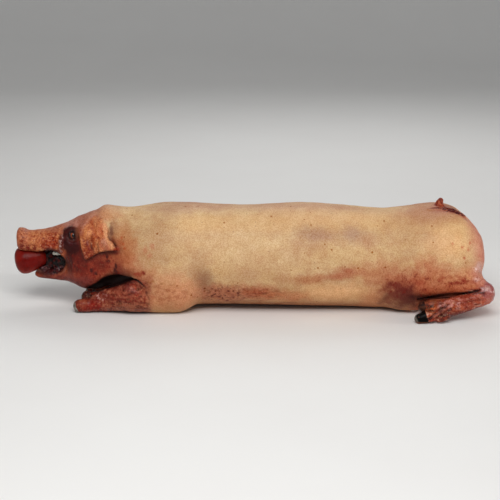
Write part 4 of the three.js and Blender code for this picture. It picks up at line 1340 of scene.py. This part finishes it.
def paint_hind_feet(paint, p):
    """The wet hind trotters, their instep, hock and sinews, with painted highlights and painted shade
    in the clefts between the toes.
    """
    x, _, z = p.T
    hind = hind_foot_share(p)
    paint.lay(hind, (196, 96, 66), 0.9, 0.4, 0.35)
    paint.lay(0.6 * hind * blot(p * (0.4, 1, 1), 16, 0.2, 95, 0.2), (138, 46, 34), 0.95)
    paint.lay(0.6 * hind * blot(p, 9, 0.25, 96, 0.15), (196, 124, 106), 1.0)
    instep = hind * patch(p, (378, 138, 32), (34, 40, 18), 0.4, 0.2)
    paint.lay(0.85 * instep, (216, 112, 58), 0.95, 0.3)
    paint.lay(0.75 * instep * blot(p * (1, 1, 0.6), 6, 0.15, 99, 0.12), (234, 150, 100), 1.0)
    paint.lay(0.8 * hind * ramp(z, 52, 44) * ramp(x, 348, 372) * ramp(x, 420, 390), RAW, 0.6)
    cracks = blot(p * (0.3, 1, 1.4), 8, 0.35, 89, 0.12)
    paint.lay(0.7 * hind * cracks, (70, 22, 16), 0.95)
    # Pale flecks over the trotters: painted highlights.
    paint.lay(0.6 * hind * blot(p * (0.5, 1, 1.2), 6, 0.45, 90, 0.12), (240, 190, 164), 1.0)
    heel = hind * patch(p, (430, 128, 18), (52, 40, 8), 0.5, 0.3)
    paint.lay(0.75 * heel, (108, 38, 34), 0.8)
    hock = patch(p, (474, 112, 64), (19, 34, 20), 0.6, 0.3)
    paint.lay(0.9 * hock, (184, 114, 116), 1.0, 0.2)
    paint.lay(0.6 * hock * blot(p, 9, 0.15, 85, 0.15), (140, 56, 56), 1.0)
    paint.lay(0.7 * patch(p, (479, 118, 52), (10, 34, 12), 0.6, 0.4), (164, 78, 60), 1.0)
    # Pale spots on the hock and shin: painted highlights.
    for at, radii in (
        ((467, 122, 67), (6, 12, 4)),
        ((486, 118, 60), (4, 12, 5)),
        ((454, 97, 104), (7, 24, 8)),
        ((446, 112, 84), (6, 12, 4)),
    ):
        paint.lay(0.6 * patch(p, at, radii, 0.8, 0.3, 87, 6), (240, 216, 212), 1.0)
    # A pale patch on the shin: painted highlight.
    shin = patch(p, (452, 100, 92), (15, 34, 18), 0.8)
    paint.lay(0.65 * shin, (204, 140, 124))
    paint.soak(patch(p, (452, 100, 100), (15, 34, 22), 0.5))
    paint.soak(patch(p, (474, 112, 66), (22, 40, 24), 0.5))
    # Dark lines in the clefts between the toes: painted shade.
    away = near_path(p, TOE_CREASE) + 2 * noise(p, 8, 100)
    paint.lay(0.95 * hind * ramp(away, 5, 2), (34, 12, 10), 0.8)
    away = near_path(p, [(362, 149, 13), (376, 147, 22), (392, 141, 30)]) + 2 * noise(p, 8, 102)
    paint.lay(0.9 * hind * ramp(away, 4.5, 1.5), (40, 14, 11), 0.8)
    paint.lay(0.6 * hind * patch(p, (425, 130, 46), (26, 40, 14), 0.7, 0.4), (128, 50, 38), 0.9)
    # Pale pink speckles on the instep: painted highlight.
    shine = patch(p, (392, 146, 40), (24, 40, 11), 0.6, 0.5)
    shine = shine * blot(p * (0.7, 1, 1), 6, 0.05, 103, 0.15)
    paint.lay(0.75 * hind * shine, (222, 156, 146), 1.0)
    claw = patch(p, (382, 142, 14), (16, 30, 9), 0.5, 0.3)
    paint.lay(0.8 * claw * blot(p * (0.6, 1, 1.4), 6, 0.0, 97, 0.15), (66, 28, 20), 0.8)
    toes = hind * ramp(x, 362, 352) * ramp(z, 20, 28)
    paint.lay(0.85 * toes * blot(p * (0.4, 1, 1.4), 9, -0.2, 97), (36, 16, 13), 0.6)
    for start, drop in ((0, 5), (4, 4), (-3, 7), (20, 11), (12, 15)):
        seam = [(404 + start, 114, 52 - drop), (436, 122, 58 - drop), (460, 126, 65 - drop)]
        away = near_path(p, seam) + 1.5 * noise(p * (0.3, 1, 1), 6, 86)
        paint.lay(0.8 * ramp(away, 3, 1), (64, 20, 16), 0.8)


def paint_crease_shade(paint, p, n):
    """Painted shade where the skin folds on itself, in the recess between the jowl and the forearm,
    under the forearm's fold and under the ham.
    """
    # Painted shade in hollows: the more the skin round a point closes over it, the darker.
    for reach, share, colour in ((5, 0.6, (84, 32, 25)), (12, 0.4, (110, 50, 38))):
        open_share = np.clip(pig_at(p + n * reach) / reach, 0, 1)
        paint.lay(share * ramp(open_share, 0.75, 0.15), colour)
    # Painted shade along the folds.
    for fold in FOLDS:
        strength = min(fold.depth / 2, 1)
        away = near_path(p, fold.path) + 1.4 * noise(p, 7, 59)
        paint.lay(0.7 * strength * ramp(away, fold.width * 1.6, 0.4), (76, 30, 25))
    # Painted shade: near black in the recess between the jowl and the forearm, with a dark rim round
    # it.
    at = mirrored(p).T
    recess = RECESS.read(*at) + 1.5 * noise(p, 8, 58)
    lip = ramp(recess + 3 * noise(p, 9, 51), 15, 3) * ramp(p[:, 0], -238, -256)
    paint.lay(0.75 * lip, (66, 20, 13), 0.3)
    paint.lay(0.97 * ramp(recess, 5, 0) * ramp(p[:, 0], -222, -236), PAINTED_SHADOW_BLACK, 0.1, 0.0, 0.0)
    # Painted shade: near black deep in the neck's recess.
    inside = patch(p, (-292, 56, 62), (50, 34, 24), 0.3)
    shut = np.clip(pig_at(p + n * 22) / 22, 0, 1)
    paint.lay(0.95 * inside * ramp(shut, 0.8, 0.5), PAINTED_SHADOW_BLACK, 0.1, 0.0, 0.0)
    # Painted shadow under the forearm's fold and under the ham.
    paint.lay(0.9 * ramp(ARM_FOLD_SHADE.read(*at) + 0.6 * noise(p, 6, 57), 2.2, 0.4), (36, 12, 10), 0.3)
    paint.lay(0.95 * ramp(HAM_FOLD_SHADE.read(*at) + 0.6 * noise(p, 6, 56), 3, 0.6), (26, 9, 7), 0.4)
    # Painted shade in the gap under the ham.
    gap = patch(p, (352, 100, 42), (34, 40, 9), 0.6, 0.3)
    paint.lay(0.75 * gap, (50, 18, 13), 0.4)


def paint_skin(p, n):
    paint = Paint(len(p), PALE, 0.1)
    paint_trunk(paint, p)
    paint_shoulder(paint, p)
    paint_ham(paint, p)
    paint_slit(paint, p)
    paint_head(paint, p, n)
    paint_cheeks(paint, p)
    paint_fore_feet(paint, p, n)
    paint_hind_feet(paint, p)
    paint_crease_shade(paint, p, n)
    paint_ears(paint, p)
    paint_mouth(paint, p)
    return paint


# ---------- materials ----------


class Nodes:
    """A material's node tree, built call by call."""

    def __init__(self, name):
        self.material = bpy.data.materials.new(name)
        self.material.use_nodes = True
        self.tree = self.material.node_tree
        self.shader = self.tree.nodes["Principled BSDF"]

    def node(self, kind, settings=None, **inputs):
        made = self.tree.nodes.new("ShaderNode" + kind)
        for key, value in (settings or {}).items():
            setattr(made, key, value)
        self.fill(made, inputs)
        return made

    def fill(self, made, inputs):
        """Sets or links each input, whose name has _ for a space."""
        for key, value in inputs.items():
            name = key.replace("_", " ")
            socket = made.inputs[int(key[1:])] if key[1:].isdigit() else made.inputs[name]
            if isinstance(value, bpy.types.NodeSocket):
                self.tree.links.new(value, socket)
            else:
                socket.default_value = value

    def attribute(self, name, output="Fac"):
        return self.node("Attribute", {"attribute_name": name}).outputs[output]

    def place(self, stretch=(1, 1, 1)):
        where = self.node("TexCoord").outputs["Object"]
        return self.node("Mapping", Vector=where, Scale=stretch).outputs["Vector"]

    def noise(self, scale, detail=3.0, stretch=(1, 1, 1), roughness=0.55):
        inputs = {"Scale": scale, "Detail": detail, "Roughness": roughness}
        return self.node("TexNoise", Vector=self.place(stretch), **inputs).outputs["Fac"]

    def dots(self, scale, radius, spread=0.35):
        """1 in small round dots, one to a cell, some left out."""
        cells = self.node("TexVoronoi", Vector=self.place(), Scale=scale, Randomness=1.0)
        chance = self.node("SeparateColor", Color=cells.outputs["Color"]).outputs["Red"]
        limit = self.ramp(chance, 1 - spread, 1.0, 0, radius)
        near = self.math("SUBTRACT", limit, cells.outputs["Distance"])
        return self.ramp(near, 0, radius * 0.4, 0, 1)

    def math(self, operation, a, b):
        made = self.node("Math", {"operation": operation}, _0=a, _1=b)
        return made.outputs["Value"]

    def times(self, a, b):
        return self.math("MULTIPLY", a, b)

    def ramp(self, value, start, end, low=0.0, high=1.0):
        reach = {"From_Min": start, "From_Max": end, "To_Min": low, "To_Max": high}
        made = self.node("MapRange", {"interpolation_type": "SMOOTHSTEP"}, Value=value, **reach)
        return made.outputs["Result"]

    def mix(self, share, a, b, how="MIX"):
        made = self.node("Mix", {"data_type": "RGBA", "blend_type": how}, _0=share, _6=a, _7=b)
        return made.outputs[2]

    def cover(self, tint, where, share, colour, how="MIX"):
        """Lays a share of a colour over the tint, as far as a value says."""
        return self.mix(self.times(where, share), tint, rgb(colour), how)

    def darken(self, tint, where, share, colour):
        return self.cover(tint, where, share, colour, "MULTIPLY")

    def bump(self, height, strength, distance, normal=None):
        inputs = {} if normal is None else {"Normal": normal}
        made = self.node("Bump", Height=height, Strength=strength, Distance=distance, **inputs)
        return made.outputs["Normal"]

    def finish(self, **inputs):
        self.fill(self.shader, inputs)
        return self.material


def rgb(colour):
    """A colour of 0 to 255 a channel for a socket."""
    return (*linear(colour), 1.0)


def skin_material():
    m = Nodes("skin")
    tint = m.attribute("tint", "Color")
    wet, raw, grain, stain = (m.attribute(name) for name in Paint.FINISHES)
    tint = m.darken(tint, m.ramp(m.noise(42, 4), 0.35, 0.68), 0.3, (228, 202, 172))
    fine = m.ramp(m.noise(440, 3), 0.4, 0.6)
    tint = m.darken(tint, fine, 0.6, (224, 194, 160))
    smear = m.math("ADD", m.noise(210, 4, (1.2, 1, 0.7), 0.7), m.times(stain, 0.08))
    smear = m.times(m.ramp(smear, 0.53, 0.67), stain)
    tint = m.darken(tint, smear, 0.75, (196, 122, 86))
    crust = m.ramp(m.noise(300, 4), 0.44, 0.6)
    tint = m.darken(tint, crust, m.times(grain, 0.75), (178, 106, 80))
    tint = m.darken(tint, m.dots(110, 0.2, 0.45), 0.4, (160, 84, 60))  # pores
    tint = m.darken(tint, m.dots(74, 0.21, 0.42), 0.95, (200, 150, 80))  # brown specks
    tint = m.darken(tint, m.dots(130, 0.14, 0.4), 0.5, (206, 120, 84))  # a rash of red ones
    blood = m.math("ADD", m.noise(150, 5, (1, 1, 0.6), 0.65), m.times(raw, 0.16))
    blood = m.times(m.ramp(blood, 0.61, 0.67), m.ramp(raw, 0, 0.4))
    tint = m.cover(tint, blood, 0.8, (116, 22, 10))
    pale = m.ramp(m.noise(230, 4), 0.58, 0.68)
    tint = m.cover(tint, pale, m.times(grain, 0.65), (232, 168, 122))
    roughness = m.math("ADD", m.ramp(wet, 0, 1, 0.52, 0.14), m.ramp(fine, 0, 1, 0.0, 0.08))
    depth = m.ramp(m.math("ADD", wet, grain), 0, 1.2, 0.0008, 0.0022)
    pitted = m.bump(m.noise(420, 4), 0.45, 0.0014)
    dimples = m.bump(m.noise(150, 4), 0.45, depth, pitted)
    return m.finish(
        Base_Color=tint,
        Roughness=roughness,
        Normal=dimples,
        Subsurface_Weight=0.1,
        Subsurface_Radius=(1.0, 0.45, 0.25),
        Subsurface_Scale=0.004,
        Specular_IOR_Level=0.18,
        Coat_Weight=m.ramp(wet, 0.9, 1.0, 0.0, 0.7),
        Coat_Roughness=0.14,
        Coat_Normal=dimples,
    )


def apple_material():
    m = Nodes("apple_peel")
    tint = m.attribute("tint", "Color")
    streaks = m.ramp(m.noise(70, 4, (0.35, 1, 1)), 0.4, 0.65)
    tint = m.cover(tint, streaks, 0.45, (92, 14, 10))
    tint = m.cover(tint, m.ramp(m.noise(28, 3), 0.5, 0.75), 0.22, (146, 52, 38))  # blush
    tint = m.cover(tint, m.dots(170, 0.16, 0.35), 0.3, (170, 104, 80))  # lenticels
    return m.finish(
        Base_Color=tint,
        Roughness=m.ramp(m.noise(60, 3), 0.3, 0.7, 0.2, 0.4),
        Normal=m.bump(m.noise(140, 3), 0.2, 0.002),
        Subsurface_Weight=0.06,
        Subsurface_Radius=(1.0, 0.3, 0.2),
        Subsurface_Scale=0.003,
        Specular_IOR_Level=0.1,
    )


def hoof_material():
    m = Nodes("hoof_horn")
    tint = m.attribute("tint", "Color")
    grain = m.ramp(m.noise(90, 4, (0.3, 1.4, 1.4)), 0.4, 0.65)
    return m.finish(
        Base_Color=m.darken(tint, grain, 0.5, (96, 88, 82)),
        Roughness=m.ramp(grain, 0, 1, 0.2, 0.4),
        Normal=m.bump(m.noise(180, 4, (0.3, 1.4, 1.4)), 0.4, 0.0016),
        Specular_IOR_Level=0.06,
    )


def tooth_material():
    m = Nodes("tooth_ivory")
    worn = m.ramp(m.noise(160, 3), 0.35, 0.7)
    return m.finish(
        Base_Color=m.mix(worn, rgb((190, 186, 176)), rgb((132, 124, 110))),
        Roughness=m.ramp(m.noise(300, 2), 0.3, 0.7, 0.22, 0.4),
        Normal=m.bump(m.noise(400, 3), 0.2, 0.0008),
        Coat_Weight=0.4,
    )


def eye_material():
    m = Nodes("eye_glaze")
    cloud = m.ramp(m.noise(700, 2), 0.4, 0.7, 0, 0.3)
    return m.finish(
        Base_Color=m.mix(cloud, m.attribute("tint", "Color"), rgb((52, 22, 14))),
        Roughness=m.ramp(m.noise(500, 2), 0.3, 0.7, 0.14, 0.24),
        Specular_IOR_Level=0.3,
    )


# ---------- pieces ----------


def into_scene(name, data):
    """An object of its own for a mesh, lamp or camera."""
    made = bpy.data.objects.new(name, data)
    bpy.context.collection.objects.link(made)
    return made


def smooth_mesh(name, points, faces):
    mesh = bpy.data.meshes.new(name)
    mesh.from_pydata(points, [], faces)
    mesh.validate()
    mesh.polygons.foreach_set("use_smooth", [True] * len(mesh.polygons))
    return mesh


def make_piece(name, points, faces, material, slot, paint=None):
    """A smooth mesh of the part, given in millimetres where the fields are worked out."""
    places = (points + TO_MIDDLE) * MILLIMETRE
    mesh = smooth_mesh(name, places.tolist(), faces.tolist())
    if paint is not None:
        tint = mesh.attributes.new("tint", "FLOAT_COLOR", "POINT")
        shade = np.concatenate([paint.colour, np.ones((len(points), 1))], axis=1)
        tint.data.foreach_set("color", shade.ravel())
        for finish in Paint.FINISHES:
            layer = mesh.attributes.new(finish, "FLOAT", "POINT")
            layer.data.foreach_set("value", getattr(paint, finish))
    mesh.materials.append(material)
    made = into_scene(name, mesh)
    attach(made, "root")
    return made


def make_eyes():
    """Glazed eyeballs with a brown iris and a dark pupil."""
    material = eye_material()
    for end, side in SIDES.items():
        middle, out, level, up = eye_frame(side)
        ball = ellipsoid(middle, EYEBALL.radii)
        points, quads = carve(ball, 0.9)
        paint = Paint(len(points), (44, 20, 18))
        away = points - middle
        across, upward = away @ level * side, away @ up
        shown = ramp(away @ out, 0, 3)
        iris = ramp(length(across + 1.6, upward / 1.25), 4.6, 4.0) * shown
        pupil = ramp(length((across - 0.9) / 0.9, upward / 1.2), 3.7, 3.2) * shown
        paint.lay(iris, (150, 66, 34))
        paint.lay(pupil, (8, 5, 5))
        make_piece(f"eye_{end}", points, quads, material, "skin", paint)


# Each tooth's middle and radii.
UPPER_TEETH = [
    ((-413.5, 30, 116), (4.6, 3.0, 3.9)),
    ((-407.5, 31, 116), (4.6, 3.2, 4.2)),
    ((-402, 32, 116.5), (3.6, 3.0, 3.6)),
]


def make_teeth():
    """The upper teeth that show in the open mouth, a row on each side."""
    material = tooth_material()
    for end, side in SIDES.items():
        points, faces, count = [], [], 0
        for (x, y, z), radii in UPPER_TEETH:
            p, quads = carve(ellipsoid((x, side * y, z), radii), 0.8)
            p = p + 0.3 * unit(p - (x, side * y, z)) * noise(p, 3, 101)[:, None]
            points.append(p)
            faces.append(quads + count)
            count += len(p)
        crowns = np.concatenate(points), np.concatenate(faces)
        make_piece(f"upper_teeth_{end}", *crowns, material, "skin")


def hoof(name, joints, back, grow, material, paint_hoof):
    """A horny shell over the end of a toe, forward of a given x."""
    toe = chain([(x, y, z, r + grow) for x, y, z, r in joints])
    lean, edge, cell = 0.35, 1.5, 1.2

    def read(x, y, z):
        lip = x - back + lean * (z - joints[-1][2])
        return smooth_max(smooth_max(toe.read(x, y, z), lip, edge), -z, 1)

    low, high = toe.low.copy(), toe.high.copy()
    low[2] = max(low[2], -1)
    high[0] = min(high[0], back + 8)
    points, quads = carve(Shape(read, low, high), cell)
    grain = noise(points * (0.3, 1.2, 1.2), 4, 111)
    points = points + 0.25 * unit(points - np.mean(points, axis=0)) * grain[:, None]
    points[:, 2] = np.maximum(points[:, 2], 0.03)
    paint = Paint(len(points), (10, 7, 6))
    paint_hoof(paint, points)
    make_piece(name, points, quads, material, "skin", paint)


def paint_hind_hoof(paint, p):
    x, _, z = p.T
    paint.lay(0.6 * blot(p * (0.4, 1, 1), 8, 0.4, 112, 0.12), (104, 94, 82))
    paint.lay(0.8 * ramp(x + 0.4 * z, 331, 325), (128, 120, 112))
    paint.lay(0.8 * ramp(z, 6, 3), (150, 90, 66))


def paint_dark_hoof(paint, p):
    paint.lay(np.ones(len(p)), (48, 24, 20))
    paint.lay(0.6 * blot(p * (0.3, 1.4, 1.4), 7, 0.15, 113), (104, 62, 46))


def paint_fore_hoof(paint, p):
    paint.lay(np.ones(len(p)), (150, 144, 134))
    paint.lay(0.5 * blot(p, 7, 0.1, 114), (104, 92, 84))


def make_hooves():
    material = hoof_material()
    for end, side in SIDES.items():
        back, inward, down = trotter_shift(side)
        outer, inner = (placed(toe, side) for toe in HIND_TOES)
        hoof(f"hind_hoof_outer_{end}", outer, 347, 0.9, material, paint_hind_hoof)
        hoof(f"hind_hoof_inner_{end}", inner, 345, 0.7, material, paint_dark_hoof)
        outer, inner = (placed(toe, side, back, -inward, down) for toe in FORE_TOES)
        hoof(f"fore_hoof_outer_{end}", outer, -366 + back, 0.6, material, paint_fore_hoof)
        hoof(f"fore_hoof_inner_{end}", inner, -350 + back, 0.6, material, paint_dark_hoof)


def apple_rings(rings):
    """The distance along the apple's axis and from it, at even steps over its section."""
    half = apple_outline(8)
    half = half[: len(half) // 2 + 1]
    spans = np.concatenate([[0], np.cumsum(np.linalg.norm(np.diff(half, axis=0), axis=1))])
    at = np.linspace(0, spans[-1], rings + 1)
    along, radius = (np.interp(at, spans, column) for column in half.T)
    return along, np.maximum(radius, 0.01)


def apple_mesh(rings=96, sides=72):
    """The apple turned about its axis, with five faint lobes at its far end."""
    along, radius = apple_rings(rings)
    angle = np.arange(sides) * 2 * math.pi / sides
    lobes = 1 + 0.02 * np.outer(ramp(along, 10, -34), np.cos(5 * angle))
    lobes += 0.012 * np.cos(2 * angle + 0.8)
    across = radius[:, None] * lobes * np.cos(angle)
    upward = radius[:, None] * lobes * np.sin(angle)
    side_way = np.array([0, 1, 0])
    up_way = np.cross(APPLE_AXIS, side_way)
    points = along[:, None, None] * APPLE_AXIS + across[..., None] * side_way
    points = (points + upward[..., None] * up_way + APPLE_AT).reshape(-1, 3)
    ring, turn = np.meshgrid(np.arange(rings), np.arange(sides), indexing="ij")
    beside = (turn + 1) % sides
    quads = [ring * sides + turn, (ring + 1) * sides + turn]
    quads += [(ring + 1) * sides + beside, ring * sides + beside]
    return points, np.stack(quads, axis=-1).reshape(-1, 4)[:, ::-1]


def make_apple():
    points, faces = apple_mesh()
    paint = Paint(len(points), (112, 14, 8))
    paint.lay(0.7 * ramp(points[:, 2], 90, 74), (152, 42, 28))
    paint.lay(0.5 * blot(points, 16, 0.1, 121), (84, 8, 5))
    paint.lay(0.5 * ramp(points[:, 0], -478, -492), (130, 36, 26))
    return make_piece("apple_fruit", points, faces, apple_material(), "apple_skin", paint)


# ---------- stage ----------


def make_floor():
    """A pale floor that sweeps up into a backdrop behind the part."""
    bend, front, back, top, half_wide = 1.5, -6.0, 3.0, 5.0, 9.0
    sweep = np.linspace(0, math.pi / 2, 16)
    line = [(back + bend * math.sin(a), bend * (1 - math.cos(a))) for a in sweep]
    line = [(front, 0.0), *line, (back + bend, top)]
    points = [(x, y, z) for x in (-half_wide, half_wide) for y, z in line]
    count = len(line)
    faces = [(count + i, count + i + 1, i + 1, i) for i in range(count - 1)]
    mesh = smooth_mesh("floor", points, faces)
    m = Nodes("floor_paint")
    tint = m.mix(m.noise(3, 3), rgb((238, 237, 234)), rgb((233, 231, 228)))
    mesh.materials.append(m.finish(Base_Color=tint, Roughness=0.8))
    floor = into_scene("floor", mesh)


def add_light(name, place, size, power):
    """A square lamp that shines on the middle of the part."""
    lamp = bpy.data.lights.new(name, "AREA")
    lamp.size = size
    lamp.energy = power
    made = into_scene(name, lamp)
    made.location = place
    aim = Vector((0, 0, 0.1)) - Vector(place)
    made.rotation_euler = aim.to_track_quat("-Z", "Y").to_euler()
    return lamp


def make_lights():
    add_light("key", (-0.3, -1.9, 2.2), 1.6, 46)
    add_light("glint", (0.5, -2.0, 1.7), 0.2, 8)
    side = add_light("side", (2.3, -0.25, 0.5), 0.3, 0.8)
    side.spread = math.radians(50)  # keeps it off the floor
    add_light("rim", (0.3, 1.8, 1.8), 1.4, 16)
    world = bpy.data.worlds.new("studio")
    world.use_nodes = True
    back = world.node_tree.nodes["Background"]
    back.inputs["Color"].default_value = (0.95, 0.97, 1.0, 1.0)
    back.inputs["Strength"].default_value = 0.24
    bpy.context.scene.world = world


def make_camera():
    """Level with the pig's side, 15 degrees above the table, framing its whole length."""
    distance, half_wide, sensor = 3.0, 0.5208, 36
    target = Vector((-0.0029, 0, 0.115))
    lift = math.radians(15)
    back = Vector((0, -math.cos(lift), math.sin(lift)))
    lens = bpy.data.cameras.new("camera")
    lens.sensor_width = sensor
    lens.lens = sensor / 2 * distance / half_wide
    made = into_scene("camera", lens)
    made.location = target + back * distance
    made.rotation_euler = (-back).to_track_quat("-Z", "Y").to_euler()
    bpy.context.scene.camera = made
    bpy.context.scene.view_settings.view_transform = "Standard"


make_camera()
make_lights()
make_floor()
skin_points, skin_quads, skin_normals = make_skin()
skin_paint = paint_skin(skin_points, skin_normals)
skin = make_piece("pig_skin", skin_points, skin_quads, skin_material(), "skin", skin_paint)
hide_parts("pig")
fruit = make_apple()
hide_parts("apple")
make_eyes()
make_teeth()
make_hooves()
